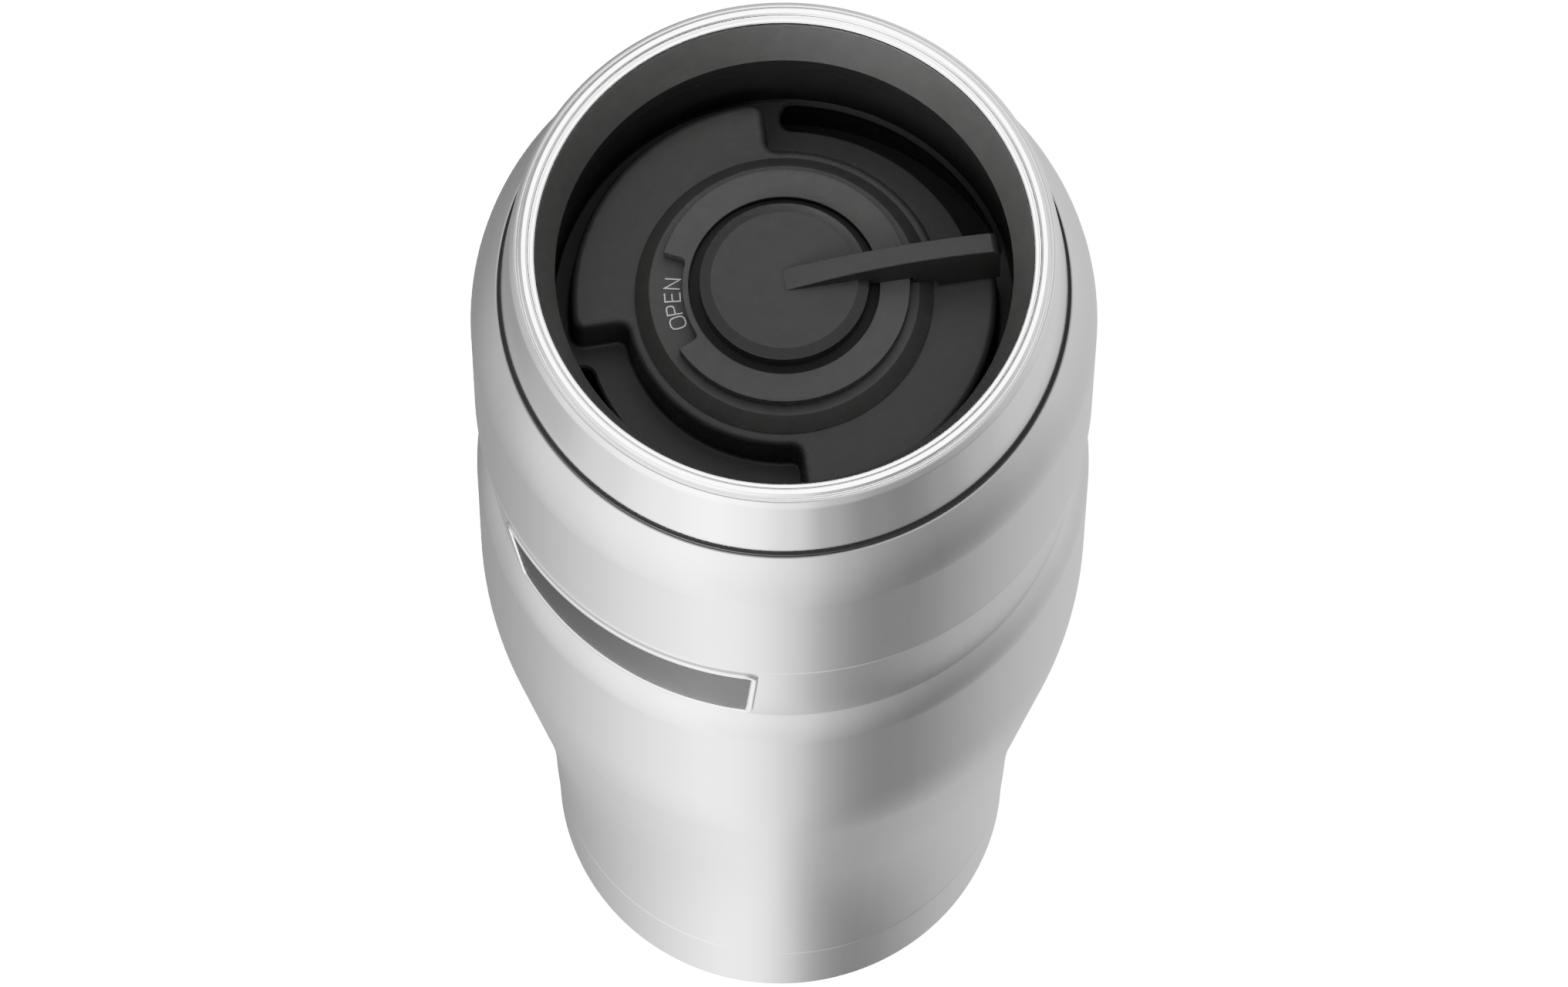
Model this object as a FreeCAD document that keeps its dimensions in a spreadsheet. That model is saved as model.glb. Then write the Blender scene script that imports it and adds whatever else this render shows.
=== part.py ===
import FreeCAD, Part
import Sketcher
import math
import os
from collections import namedtuple

# Insulated travel mug: a double-walled steel tumbler and a screw-in lid with a lever-driven valve.
# Millimetres. The origin is the centre of the base, on the surface the mug stands on.
# +Z is up and the front, where the badge is read, is -Y. Azimuths are counter-clockwise from +X.

SIZES = {
    # outer shell, from the base seam up to the rim
    "shell_wall": 0.7,
    "base_seam_height": 16.6,
    "flare_start_height": 12.0,
    "flare_start_radius": 32.27,
    "flare_arc": 300.0,
    "hip_height": 102.0,
    "belly_radius": 41.28,
    "hip_arc": 105.0,
    "ridge_height": 125.6,
    "groove_radius": 39.15,
    "groove_height": 131.2,
    "band_radius": 41.05,
    "band_low_height": 151.55,
    "band_top_height": 175.4,
    "shoulder_arc_radius": 15.0,
    "rim_radius": 37.65,
    "rim_height": 184.4,
    "skirt_gap": 0.1,
    "skirt_foot_radius": 31.0,
    "skirt_foot_height": 4.0,
    # base
    "base_corner": 3.0,
    "base_foot_radius": 28.9,
    "base_side_radius": 31.9,
    "base_recess_radius": 22.5,
    "base_recess_slope": 1.5,
    "base_recess_depth": 1.2,
    "bottom_lip": 3.5,
    "port_radius": 1.5,
    "seal_radius": 4.0,
    "seal_thick": 1.2,
    "getter_radius": 5.0,
    "getter_thick": 1.2,
    "getter_offset": 13.0,
    # inner vessel
    "vessel_wall": 0.5,
    "vessel_floor_height": 11.0,
    "vessel_corner": 6.6,
    "vessel_low_radius": 28.57,
    "vessel_neck_height": 88.0,
    "neck_radius": 35.1,
    "rim_flange": 0.6,
    # badge
    "badge_azimuth": 236.5,
    "badge_low_height": 132.6,
    "badge_top_height": 150.4,
    "badge_low_half": 18.3,
    "badge_top_half": 20.2,
    "badge_rim": 0.9,
    "badge_low_radius": 40.15,
    "badge_top_radius": 41.25,
    "badge_inset": 0.15,
    "badge_reach": 45.0,
    # lid skin
    "skin_wall": 0.6,
    "skin_foot_height": 185.0,
    "skin_foot_radius": 37.0,
    "skin_top_radius": 35.6,
    "skin_top_height": 196.5,
    "hem_edge_radius": 34.8,
    "hem_edge_height": 197.4,
    "hem_arc": 1.0,
    "lip_foot_radius": 34.5,
    "lip_foot_height": 197.3,
    "lip_top_radius": 33.6,
    "lip_top_height": 198.4,
    "lip_outer_arc": 1.35,
    "lip_inner_arc": 1.5,
    "lip_edge_radius": 32.2,
    "lip_edge_height": 196.4,
    "lip_under_height": 196.0,
    # lid collar
    "fit_gap": 0.05,
    "funnel_edge_radius": 29.71,
    "funnel_edge_height": 190.84,
    "collar_wall": 1.8,
    "bowl_radius": 30.5,
    "collar_under": 1.1,
    "collar_shelf": 1.4,
    # lid plug
    "plug_radius": 33.8,
    "plug_bore": 31.9,
    "plug_floor_height": 163.0,
    "plug_floor_thick": 2.0,
    "flange_radius": 36.1,
    "flange_low_height": 184.9,
    "flange_top_height": 186.15,
    "seat_radius": 9.0,
    "gasket_groove_low": 164.2,
    "gasket_groove_top": 167.0,
    "gasket_groove_radius": 32.4,
    "gasket_radius": 34.2,
    "thread_radius": 34.2,
    "thread_pitch": 4.0,
    "thread_low": 171.0,
    "thread_rise": 8.0,
    "thread_foot": 2.0,
    "thread_crest": 0.9,
    "thread_root": 33.6,
    # seam ring
    "seam_low_height": 184.55,
    "seam_radius": 37.25,
    "seam_inner_radius": 34.9,
    # deck
    "deck_floor_height": 176.2,
    "deck_floor_thick": 1.5,
    "deck_wall": 1.35,
    "plateau_height": 182.3,
    "plateau_radius": 27.8,
    "plateau_edge": 1.0,
    "hub_radius": 20.85,
    "hub_pocket_radius": 18.5,
    "hub_roof": 1.5,
    "boss_radius": 6.5,
    "boss_low_height": 178.4,
    "recess_start": 10.3,
    "recess_sweep": 86.2,
    "slot_inner_radius": 26.2,
    "slot_start": 16.3,
    "slot_sweep": 75.2,
    "pocket_inner_radius": 22.4,
    "pocket_outer_radius": 26.2,
    "pocket_start": 100.0,
    "pocket_sweep": 86.8,
    # dial
    "dial_foot_radius": 19.62,
    "dial_top_radius": 17.59,
    "dial_low_height": 182.3,
    "dial_top_height": 184.25,
    "dial_bore": 3.6,
    "ring_low_height": 184.6,
    "ring_web_top": 185.05,
    "ring_top_height": 186.0,
    "ring_inner_radius": 12.43,
    "ring_outer_radius": 16.4,
    "notch_inner_radius": 13.3,
    "notch_start": 164.5,
    "notch_sweep": 49.5,
    "knob_low_height": 185.1,
    "knob_radius": 11.06,
    "knob_edge_height": 187.45,
    "knob_top_radius": 9.58,
    "knob_top_height": 187.66,
    "knob_bore_top": 186.65,
    # lever
    "lever_azimuth": 9.5,
    "lever_reach": 28.2,
    "lever_top_half": 1.335,
    "lever_low_half": 1.95,
    "lever_low_height": 182.75,
    "lever_crown": 191.0,
    "lever_end_height": 190.05,
    "lever_arch": 67.8,
    "lever_corner": 1.3,
    "lever_knob_depth": 187.0,
    "lever_ring_end": 16.75,
    "lever_ring_gap": 0.05,
    "lever_dial_end": 20.1,
    "lever_dial_gap": 0.4,
    # shaft and valve drive
    "shaft_radius": 3.0,
    "shaft_bore": 3.08,
    "shaft_low_height": 164.6,
    "shaft_top_height": 186.6,
    "o_ring_height": 180.6,
    "o_ring_major": 2.42,
    "o_ring_minor": 0.6,
    "o_ring_groove_radius": 1.8,
    "o_ring_groove_half": 0.7,
    "clip_low_height": 177.5,
    "clip_thick": 0.6,
    "clip_radius": 5.0,
    "clip_seat_radius": 2.5,
    "clip_mouth": 4.0,
    "pin_height": 169.0,
    "pin_radius": 0.9,
    "pin_half": 4.65,
    "pin_azimuth": 42.5,
    "pin_play": 0.2,
    "valve_travel": 4.0,
    "lever_travel": 85.0,
    # valve
    "stem_radius": 4.8,
    "stem_low_height": 158.0,
    "stem_floor_height": 160.2,
    "stem_top_height": 172.8,
    "key_width": 1.2,
    "key_radius": 5.8,
    "key_low_height": 161.5,
    "key_play": 0.2,
    "guide_bore": 4.88,
    "guide_radius": 7.4,
    "guide_top_height": 171.4,
    "arm_reach": 12.0,
    "arm_width": 2.6,
    "arm_thick": 2.0,
    "arm_azimuth": 30.0,
    "disc_radius": 12.6,
    "disc_thick": 1.6,
    "disc_rim": 0.5,
    "valve_seal_inner": 9.6,
    "valve_seal_outer": 12.2,
    "valve_seal_thick": 0.9,
    "screw_head_radius": 2.8,
    "screw_head_thick": 1.2,
    "screw_radius": 1.2,
    "screw_length": 3.2,
}

FULL_TURN = 360.0
HALF_TURN = 180.0
QUARTER_TURN = 90.0
CLEAR = 1.0
SLOT_STEPS = 17
GUIDE_ARMS = 3


class Size:
    """A size: its value now, and the formula in the sheet that drives it."""

    def __init__(self, value, formula):
        self.value = float(value)
        self.formula = formula

    def __add__(self, other):
        return Size(self.value + value_of(other), f"({self.formula} + {formula_of(other)})")

    def __sub__(self, other):
        return Size(self.value - value_of(other), f"({self.formula} - {formula_of(other)})")

    def __mul__(self, other):
        return Size(self.value * value_of(other), f"({self.formula} * {formula_of(other)})")

    def __truediv__(self, other):
        return Size(self.value / value_of(other), f"({self.formula} / {formula_of(other)})")


def value_of(term):
    return term.value if isinstance(term, Size) else float(term)


def formula_of(term):
    return term.formula if isinstance(term, Size) else repr(float(term))


def root(size):
    return Size(math.sqrt(size.value), f"sqrt({size.formula})")


ZERO = Size(0.0, "0.0")


# An outline is a list that alternates corners and edges. An edge is LINE or an Arc; an arc's turn
# is +1 when its centre lies to the left of the way along the outline, and -1 to the right.
Corner = namedtuple("Corner", "across up")
Arc = namedtuple("Arc", "radius turn")
LINE = "line"


def backwards(outline):
    """The same run of corners and edges, followed from its other end."""
    run = []
    for item in reversed(outline):
        run.append(Arc(item.radius, -item.turn) if isinstance(item, Arc) else item)
    return run


def straight(*points):
    """A run of corners joined by straight lines."""
    run = []
    for across, up in points:
        run += [Corner(across, up), LINE]
    return run[:-1]


def dimension_table(doc):
    """The sheet of driving sizes, and a Size for each of its rows."""
    sheet = doc.addObject("Spreadsheet::Sheet", "dims")
    sizes = {}
    for row, (name, value) in enumerate(SIZES.items(), start=1):
        sheet.set(f"A{row}", name)
        sheet.set(f"B{row}", str(value))
        sheet.setAlias(f"B{row}", name)
        sizes[name] = Size(value, f"dims.{name}")
    return namedtuple("Dims", sizes)(**sizes)


def arc_between(start, end, arc):
    """The arc of a given radius between two points, and whether it runs counter-clockwise."""
    radius = value_of(arc.radius)
    chord = end - start
    rise = math.sqrt(max(radius ** 2 - chord.Length ** 2 / 4.0, 0.0))
    left = FreeCAD.Vector(-chord.y, chord.x, 0).normalize()
    centre = (start + end) / 2.0 + left * rise * arc.turn
    first, last = (start, end) if arc.turn > 0 else (end, start)
    angles = [math.atan2(p.y - centre.y, p.x - centre.x) for p in (first, last)]
    circle = Part.Circle(centre, FreeCAD.Vector(0, 0, 1), radius)
    return Part.ArcOfCircle(circle, *angles)


def fix_corner(sketch, end, corner):
    """Tie a corner's two coordinates to the sheet, or to an axis where they are zero."""
    for kind, size, axis in (("DistanceX", corner.across, -2), ("DistanceY", corner.up, -1)):
        if value_of(size) == 0.0:
            sketch.addConstraint(Sketcher.Constraint("PointOnObject", *end, axis))
            continue
        number = sketch.addConstraint(Sketcher.Constraint(kind, -1, 1, *end, value_of(size)))
        sketch.setExpression(f"Constraints[{number}]", formula_of(size))


def draw_outline(sketch, outline):
    """Draw a closed outline whose last corner joins its first by a straight line."""
    corners = outline[0::2]
    edges = outline[1::2] + [LINE]
    points = [FreeCAD.Vector(value_of(c.across), value_of(c.up), 0) for c in corners]
    ends = []
    for index, edge in enumerate(edges):
        start = points[index]
        finish = points[(index + 1) % len(points)]
        if isinstance(edge, Arc):
            number = sketch.addGeometry(arc_between(start, finish, edge))
            ends.append(((number, 1), (number, 2)) if edge.turn > 0 else ((number, 2), (number, 1)))
        else:
            number = sketch.addGeometry(Part.LineSegment(start, finish))
            ends.append(((number, 1), (number, 2)))
    for index, corner in enumerate(corners):
        meet = Sketcher.Constraint("Coincident", *ends[index - 1][1], *ends[index][0])
        sketch.addConstraint(meet)
        fix_corner(sketch, ends[index][0], corner)
    for index, edge in enumerate(edges):
        if isinstance(edge, Arc):
            radius = Sketcher.Constraint("Radius", ends[index][0][0], value_of(edge.radius))
            number = sketch.addConstraint(radius)
            sketch.setExpression(f"Constraints[{number}]", formula_of(edge.radius))


class Workshop:
    """Makes each kind of shape in the document, with its sizes bound to the sheet."""

    def __init__(self):
        self.doc = FreeCAD.newDocument("travel_mug")
        self.dims = dimension_table(self.doc)
        self.made = 0

    def unique(self, name):
        """A name that no other object in the document has."""
        self.made += 1
        return f"{name}_{self.made}"

    def sketch(self, body, role, outline):
        """Draw an outline on one of a body's own planes."""
        plane = next(f for f in body.Origin.OriginFeatures if f.Role == role)
        sketch = body.newObject("Sketcher::SketchObject", self.unique("outline"))
        sketch.AttachmentSupport = [(plane, "")]
        sketch.MapMode = "FlatFace"
        draw_outline(sketch, outline)
        return sketch

    def body(self, name):
        return self.doc.addObject("PartDesign::Body", name)

    def turn(self, body, outline):
        """Add an outline of radius and height to a body, turned about Z."""
        sketch = self.sketch(body, "XZ_Plane", outline)
        turned = body.newObject("PartDesign::Revolution", self.unique("turned"))
        turned.Profile = sketch
        turned.ReferenceAxis = (sketch, ["V_Axis"])
        turned.Angle = FULL_TURN
        return turned

    def lathe(self, name, outline):
        """A body of its own, turned about Z."""
        body = self.body(name)
        self.turn(body, outline)
        return body

    def pad(self, body, role, outline, length):
        """Add an outline to a body, drawn out from its plane."""
        pad = body.newObject("PartDesign::Pad", self.unique("pad"))
        pad.Profile = self.sketch(body, role, outline)
        pad.setExpression("Length", formula_of(length))
        return pad

    def pocket(self, body, role, outline):
        """Cut an outline right through a body, both ways from its plane."""
        pocket = body.newObject("PartDesign::Pocket", self.unique("pocket"))
        pocket.Profile = self.sketch(body, role, outline)
        pocket.Type = "ThroughAll"
        pocket.Midplane = True
        return pocket

    def place(self, item, height=0.0, azimuth=0.0):
        """Lift an object and turn it about Z."""
        item.Placement = FreeCAD.Placement(
            FreeCAD.Vector(0, 0, value_of(height)),
            FreeCAD.Rotation(FreeCAD.Vector(0, 0, 1), value_of(azimuth)),
        )
        if isinstance(height, Size):
            item.setExpression("Placement.Base.z", height.formula)
        if isinstance(azimuth, Size):
            item.setExpression("Placement.Rotation.Angle", azimuth.formula)
        return item

    def rod(self, name, radius, low, high, start=0.0, sweep=FULL_TURN):
        """A cylinder about Z, or the sector of one from azimuth start over sweep."""
        rod = self.doc.addObject("Part::Cylinder", name)
        rod.setExpression("Radius", formula_of(radius))
        rod.setExpression("Height", formula_of(high - low))
        rod.setExpression("Angle", formula_of(sweep))
        return self.place(rod, low, start)

    def cut(self, name, base, *tools):
        cut = self.doc.addObject("Part::Cut", name)
        cut.Base = base
        cut.Tool = tools[0] if len(tools) == 1 else self.fuse(self.unique("tools"), *tools)
        return cut

    def fuse(self, name, *pieces):
        fuse = self.doc.addObject("Part::MultiFuse", name)
        fuse.Shapes = list(pieces)
        return fuse

    def common(self, name, *pieces):
        common = self.doc.addObject("Part::MultiCommon", name)
        common.Shapes = list(pieces)
        return common

    def tube(self, name, outer, inner, low, high, start=0.0, sweep=FULL_TURN):
        """A ring about Z, or the sector of one."""
        shell = self.rod(self.unique("outside"), outer, low, high, start, sweep)
        bore = self.rod(self.unique("bore"), inner, low - CLEAR, high + CLEAR)
        return self.cut(name, shell, bore)

    def block(self, name, length, width, low, high, azimuth=0.0):
        """A bar from the axis outwards along an azimuth, centred across it."""
        body = self.body(name)
        half = width / 2.0
        low_side = half * -1.0
        self.pad(body, "YZ_Plane", straight((low_side, low), (half, low), (half, high),
                                            (low_side, high)), length)
        return self.place(body, azimuth=azimuth)


def on_flare(dims, start_radius, height):
    """The radius, at a height, of the arc that leaves start_radius upright and flares out."""
    rise = height - dims.flare_start_height
    return start_radius + dims.flare_arc - root(dims.flare_arc * dims.flare_arc - rise * rise)


def flare(dims, start_radius, low, end_radius, end_height):
    """A wall that flares out from low and turns upright at its top: arc, tangent line, arc."""
    reach = dims.flare_arc + dims.hip_arc
    across = reach - (end_radius - start_radius)
    up = end_height - dims.flare_start_height
    span = across * across + up * up
    line = root(span - reach * reach)
    cosine = (across * reach + up * line) / span
    sine = (up * reach - across * line) / span
    short = (cosine - 1.0) * -1.0
    return [
        Corner(on_flare(dims, start_radius, low), low),
        Arc(dims.flare_arc, -1),
        Corner(start_radius + dims.flare_arc * short,
               dims.flare_start_height + dims.flare_arc * sine),
        LINE,
        Corner(end_radius - dims.hip_arc * short, end_height - dims.hip_arc * sine),
        Arc(dims.hip_arc, 1),
        Corner(end_radius, end_height),
    ]


def shell_side(dims, inset, low):
    """The outer shell's wall from low up to the rim, moved in by inset."""
    step = dims.belly_radius - dims.groove_radius
    rise = dims.groove_height - dims.ridge_height
    ridge_arc = (step * step + rise * rise) / (step * 2.0)
    return flare(dims, dims.flare_start_radius - inset, low, dims.belly_radius - inset,
                 dims.hip_height) + [
        LINE,
        Corner(dims.belly_radius - inset, dims.ridge_height),
        Arc(ridge_arc, 1),
        Corner(dims.groove_radius - inset, dims.groove_height),
        LINE,
        Corner(dims.band_radius - inset, dims.band_low_height),
        LINE,
        Corner(dims.band_radius - inset, dims.band_top_height),
        Arc(dims.shoulder_arc_radius, 1),
        Corner(dims.rim_radius - inset, dims.rim_height),
    ]


def seam_radius(dims):
    """The shell's outer radius where the base cap meets it."""
    return on_flare(dims, dims.flare_start_radius, dims.base_seam_height)


def make_outer_shell(shop, dims):
    """The outer steel wall. Its foot steps in, to carry the base cap over it."""
    wall = dims.shell_wall
    seam = dims.base_seam_height
    shelf = seam + wall
    step_in = seam_radius(dims) - wall - dims.skirt_gap
    foot = straight(
        (step_in - wall, shelf),
        (dims.skirt_foot_radius - wall, dims.skirt_foot_height),
        (dims.skirt_foot_radius, dims.skirt_foot_height),
        (step_in, seam),
    )
    outside = shell_side(dims, ZERO, seam)
    inside = backwards(shell_side(dims, wall, shelf))
    return shop.lathe("outer_shell", outside + [LINE] + inside + [LINE] + foot)


def make_base_cap(shop, dims):
    """The pressed cup that closes the foot, with a rounded corner and a shallow recess below."""
    wall = dims.shell_wall
    recess = dims.base_recess_depth
    ramp = dims.base_recess_radius - dims.base_recess_slope
    top = dims.base_seam_height - dims.fit_gap
    outline = straight((ZERO, recess), (ramp, recess),
                       (dims.base_recess_radius, ZERO),
                       (dims.base_foot_radius, ZERO))
    outline += [Arc(dims.base_corner, 1)]
    outline += straight((dims.base_side_radius, dims.base_corner),
                        (seam_radius(dims), top),
                        (seam_radius(dims) - wall, top),
                        (dims.base_side_radius - wall, dims.base_corner))
    outline += [Arc(dims.base_corner - wall, -1)]
    outline += straight((dims.base_foot_radius, wall), (dims.base_recess_radius, wall),
                        (ramp, recess + wall), (ZERO, recess + wall))
    return shop.lathe("base_cap", outline)


def make_shell_bottom(shop, dims):
    """The outer wall's end disc, pressed into its foot, with the evacuation port in its middle."""
    outer = dims.skirt_foot_radius - dims.shell_wall - dims.fit_gap
    low = dims.skirt_foot_height
    top = low + dims.bottom_lip
    disc = top - dims.shell_wall
    return shop.lathe("shell_bottom", straight(
        (dims.port_radius, disc), (outer - dims.shell_wall, disc), (outer - dims.shell_wall, low),
        (outer, low), (outer, top), (dims.port_radius, top)))


def make_vacuum_seal(shop, dims):
    """The drop of solder glass that closes the evacuation port."""
    top = dims.skirt_foot_height + dims.bottom_lip - dims.shell_wall
    return shop.rod("vacuum_seal", dims.seal_radius, top - dims.seal_thick, top)


def make_getter(shop, dims):
    """The gas-absorbing pellet on the end disc, inside the vacuum."""
    low = dims.skirt_foot_height + dims.bottom_lip
    getter = shop.rod("getter", dims.getter_radius, low, low + dims.getter_thick)
    getter.setExpression("Placement.Base.x", dims.getter_offset.formula)
    return getter


def vessel_side(dims, inset, low):
    """The inner vessel's wall from low up to the neck, moved in by inset."""
    return flare(dims, dims.vessel_low_radius - inset, low, dims.neck_radius - inset,
                 dims.vessel_neck_height)


def make_inner_vessel(shop, dims):
    """The inner wall that holds the drink, with a flange that meets the outer shell's rim."""
    wall = dims.vessel_wall
    corner_top = dims.vessel_floor_height + dims.vessel_corner
    corner_foot = on_flare(dims, dims.vessel_low_radius, corner_top) - dims.vessel_corner
    flange = dims.rim_radius - dims.shell_wall - dims.fit_gap
    flange_low = dims.rim_height - dims.rim_flange
    outline = straight((ZERO, dims.vessel_floor_height), (corner_foot, dims.vessel_floor_height))
    outline += [Arc(dims.vessel_corner, 1)]
    outline += vessel_side(dims, ZERO, corner_top) + [LINE]
    outline += straight((dims.neck_radius, flange_low), (flange, flange_low),
                        (flange, dims.rim_height),
                        (dims.neck_radius - wall, dims.rim_height)) + [LINE]
    outline += backwards(vessel_side(dims, wall, corner_top))
    outline += [Arc(dims.vessel_corner - wall, -1)]
    outline += straight((corner_foot, dims.vessel_floor_height + wall),
                        (ZERO, dims.vessel_floor_height + wall))
    return shop.lathe("inner_vessel", outline)


def badge_prism(shop, dims, inset):
    """A bar with the badge's outline, pushed out through the wall at the badge's azimuth."""
    body = shop.body(shop.unique("badge_prism"))
    top = dims.badge_top_half - inset
    low = dims.badge_low_half - inset
    outline = straight((low * -1.0, dims.badge_low_height + inset),
                       (low, dims.badge_low_height + inset),
                       (top, dims.badge_top_height - inset),
                       (top * -1.0, dims.badge_top_height - inset))
    shop.pad(body, "YZ_Plane", outline, dims.badge_reach)
    return shop.place(body, azimuth=dims.badge_azimuth)


def badge_layer(shop, dims, sink):
    """A thin cone that lies on the groove's wall, with its outside sunk below the badge's rim."""
    slope = (dims.band_radius - dims.groove_radius) / (dims.band_low_height - dims.groove_height)
    low = dims.badge_low_height - CLEAR
    top = dims.badge_top_height + CLEAR
    wall_low = dims.groove_radius + slope * (low - dims.groove_height) + dims.fit_gap
    wall_top = dims.groove_radius + slope * (top - dims.groove_height) + dims.fit_gap
    return shop.lathe(shop.unique("badge_layer"), straight(
        (wall_low, low), (dims.badge_low_radius - sink, low),
        (dims.badge_top_radius - sink, top), (wall_top, top)))


def make_badge_frame(shop, dims):
    """The bright rim of the badge."""
    window = badge_prism(shop, dims, dims.badge_rim)
    rim = shop.cut(shop.unique("badge_rim"), badge_prism(shop, dims, ZERO), window)
    return shop.common("badge_frame", badge_layer(shop, dims, ZERO), rim)


def make_badge_plate(shop, dims):
    """The plain field inside the badge's rim."""
    field = badge_prism(shop, dims, dims.badge_rim + dims.fit_gap)
    return shop.common("badge_plate", badge_layer(shop, dims, dims.badge_inset), field)


def make_lid_skin(shop, dims):
    """The lid's steel skin, rolled over at the top into a drinking lip."""
    wall = dims.skin_wall
    outline = straight((dims.skin_foot_radius, dims.skin_foot_height),
                       (dims.skin_top_radius, dims.skin_top_height))
    outline += [Arc(dims.hem_arc, 1)]
    outline += straight((dims.hem_edge_radius, dims.hem_edge_height),
                        (dims.lip_foot_radius, dims.lip_foot_height))
    outline += [Arc(dims.lip_outer_arc, 1)]
    outline += straight((dims.lip_top_radius, dims.lip_top_height))
    outline += [Arc(dims.lip_inner_arc, 1)]
    outline += straight((dims.lip_edge_radius, dims.lip_edge_height),
                        (dims.lip_edge_radius, dims.lip_under_height),
                        (dims.skin_top_radius - wall, dims.lip_under_height),
                        (dims.skin_foot_radius - wall, dims.skin_foot_height))
    return shop.lathe("lid_skin", outline)


def make_lid_collar(shop, dims):
    """The plastic funnel inside the lip, with the bowl's wall set back below its edge."""
    gap = dims.fit_gap
    top = dims.lip_under_height - gap
    shelf = top - dims.collar_shelf
    shelf_radius = dims.skin_top_radius - dims.skin_wall - gap
    wall = dims.bowl_radius + dims.collar_wall
    foot = dims.flange_top_height + gap
    throat = dims.funnel_edge_height - dims.collar_under
    return shop.lathe("lid_collar", straight(
        (dims.lip_edge_radius - gap, dims.lip_edge_height - gap),
        (dims.funnel_edge_radius, dims.funnel_edge_height),
        (dims.bowl_radius, throat),
        (dims.bowl_radius, foot),
        (wall, foot),
        (wall, throat + dims.collar_under),
        (wall + dims.collar_shelf, shelf),
        (shelf_radius, shelf),
        (shelf_radius, top),
        (dims.lip_edge_radius - gap, top)))


def make_lid_plug(shop, dims):
    """The cup that screws into the neck: flange, threaded wall, gasket groove and valve seat."""
    body = shop.body("lid_plug")
    floor_top = dims.plug_floor_height + dims.plug_floor_thick
    shop.turn(body, straight(
        (dims.seat_radius, dims.plug_floor_height),
        (dims.plug_radius, dims.plug_floor_height),
        (dims.plug_radius, dims.gasket_groove_low),
        (dims.gasket_groove_radius, dims.gasket_groove_low),
        (dims.gasket_groove_radius, dims.gasket_groove_top),
        (dims.plug_radius, dims.gasket_groove_top),
        (dims.plug_radius, dims.flange_low_height),
        (dims.flange_radius, dims.flange_low_height),
        (dims.flange_radius, dims.flange_top_height),
        (dims.plug_bore, dims.flange_top_height),
        (dims.plug_bore, floor_top),
        (dims.seat_radius, floor_top)))
    half_foot = dims.thread_foot / 2.0
    half_crest = dims.thread_crest / 2.0
    ridge = straight((dims.thread_root, dims.thread_low - half_foot),
                     (dims.thread_radius, dims.thread_low - half_crest),
                     (dims.thread_radius, dims.thread_low + half_crest),
                     (dims.thread_root, dims.thread_low + half_foot))
    sketch = shop.sketch(body, "XZ_Plane", ridge)
    thread = body.newObject("PartDesign::AdditiveHelix", "thread")
    thread.Profile = sketch
    thread.ReferenceAxis = (sketch, ["V_Axis"])
    thread.Mode = "pitch-height-angle"
    thread.setExpression("Pitch", dims.thread_pitch.formula)
    thread.setExpression("Height", dims.thread_rise.formula)
    return body


def make_lid_gasket(shop, dims):
    """The seal round the plug, inside the neck."""
    gap = dims.fit_gap
    return shop.tube("lid_gasket", dims.gasket_radius, dims.gasket_groove_radius + gap,
                     dims.gasket_groove_low + gap, dims.gasket_groove_top - gap)


def make_seam_ring(shop, dims):
    """The black ring that shows between the mug's rim and the lid's skin."""
    foot = dims.flange_low_height - dims.fit_gap
    skin = dims.skin_foot_height - dims.fit_gap
    lip = dims.flange_radius + dims.fit_gap
    return shop.lathe("seam_ring", straight(
        (dims.seam_inner_radius, dims.seam_low_height), (dims.seam_radius, dims.seam_low_height),
        (dims.seam_radius, skin), (lip, skin), (lip, foot), (dims.seam_inner_radius, foot)))


def both_sides(shop, make, name, outer, inner, low, high, start, sweep):
    """Two equal sectors, opposite each other."""
    return [make(shop.unique(name), outer, inner, low, high, start + turn, sweep)
            for turn in (0.0, HALF_TURN)]


def make_lid_deck(shop, dims):
    """The bowl's floor: plateaus, two pouring recesses with slots, and the shaft's boss."""
    low = dims.deck_floor_height - dims.deck_floor_thick
    edge = dims.plateau_edge
    outer = dims.bowl_radius + dims.deck_wall
    roof = dims.plateau_height - dims.hub_roof
    outline = straight(
        (dims.shaft_bore, dims.boss_low_height),
        (dims.boss_radius, dims.boss_low_height),
        (dims.boss_radius, roof),
        (dims.hub_pocket_radius, roof),
        (dims.hub_pocket_radius, low),
        (outer, low),
        (outer, dims.flange_top_height),
        (dims.bowl_radius, dims.flange_top_height),
        (dims.bowl_radius, dims.deck_floor_height),
        (dims.plateau_radius, dims.deck_floor_height),
        (dims.plateau_radius, dims.plateau_height - edge))
    outline += [Arc(edge, 1)]
    outline += straight((dims.plateau_radius - edge, dims.plateau_height),
                        (dims.shaft_bore, dims.plateau_height))
    blank = shop.lathe("deck_blank", outline)
    floor = dims.deck_floor_height
    cutters = both_sides(shop, shop.tube, "recess", dims.bowl_radius, dims.hub_radius, floor,
                         dims.plateau_height + CLEAR, dims.recess_start, dims.recess_sweep)
    cutters += both_sides(shop, shop.tube, "slot", dims.bowl_radius, dims.slot_inner_radius,
                          low - CLEAR, floor + CLEAR, dims.slot_start, dims.slot_sweep)
    cutters += both_sides(shop, shop.tube, "pocket", dims.pocket_outer_radius,
                          dims.pocket_inner_radius, low - CLEAR, roof, dims.pocket_start,
                          dims.pocket_sweep)
    return shop.cut("lid_deck", blank, *cutters)


def make_dial_base(shop, dims):
    """The fixed ring round the dial, which carries the printed position word."""
    return shop.lathe("dial_base", straight(
        (dims.dial_bore, dims.dial_low_height), (dims.dial_foot_radius, dims.dial_low_height),
        (dims.dial_top_radius, dims.dial_top_height), (dims.dial_bore, dims.dial_top_height)))


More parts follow.
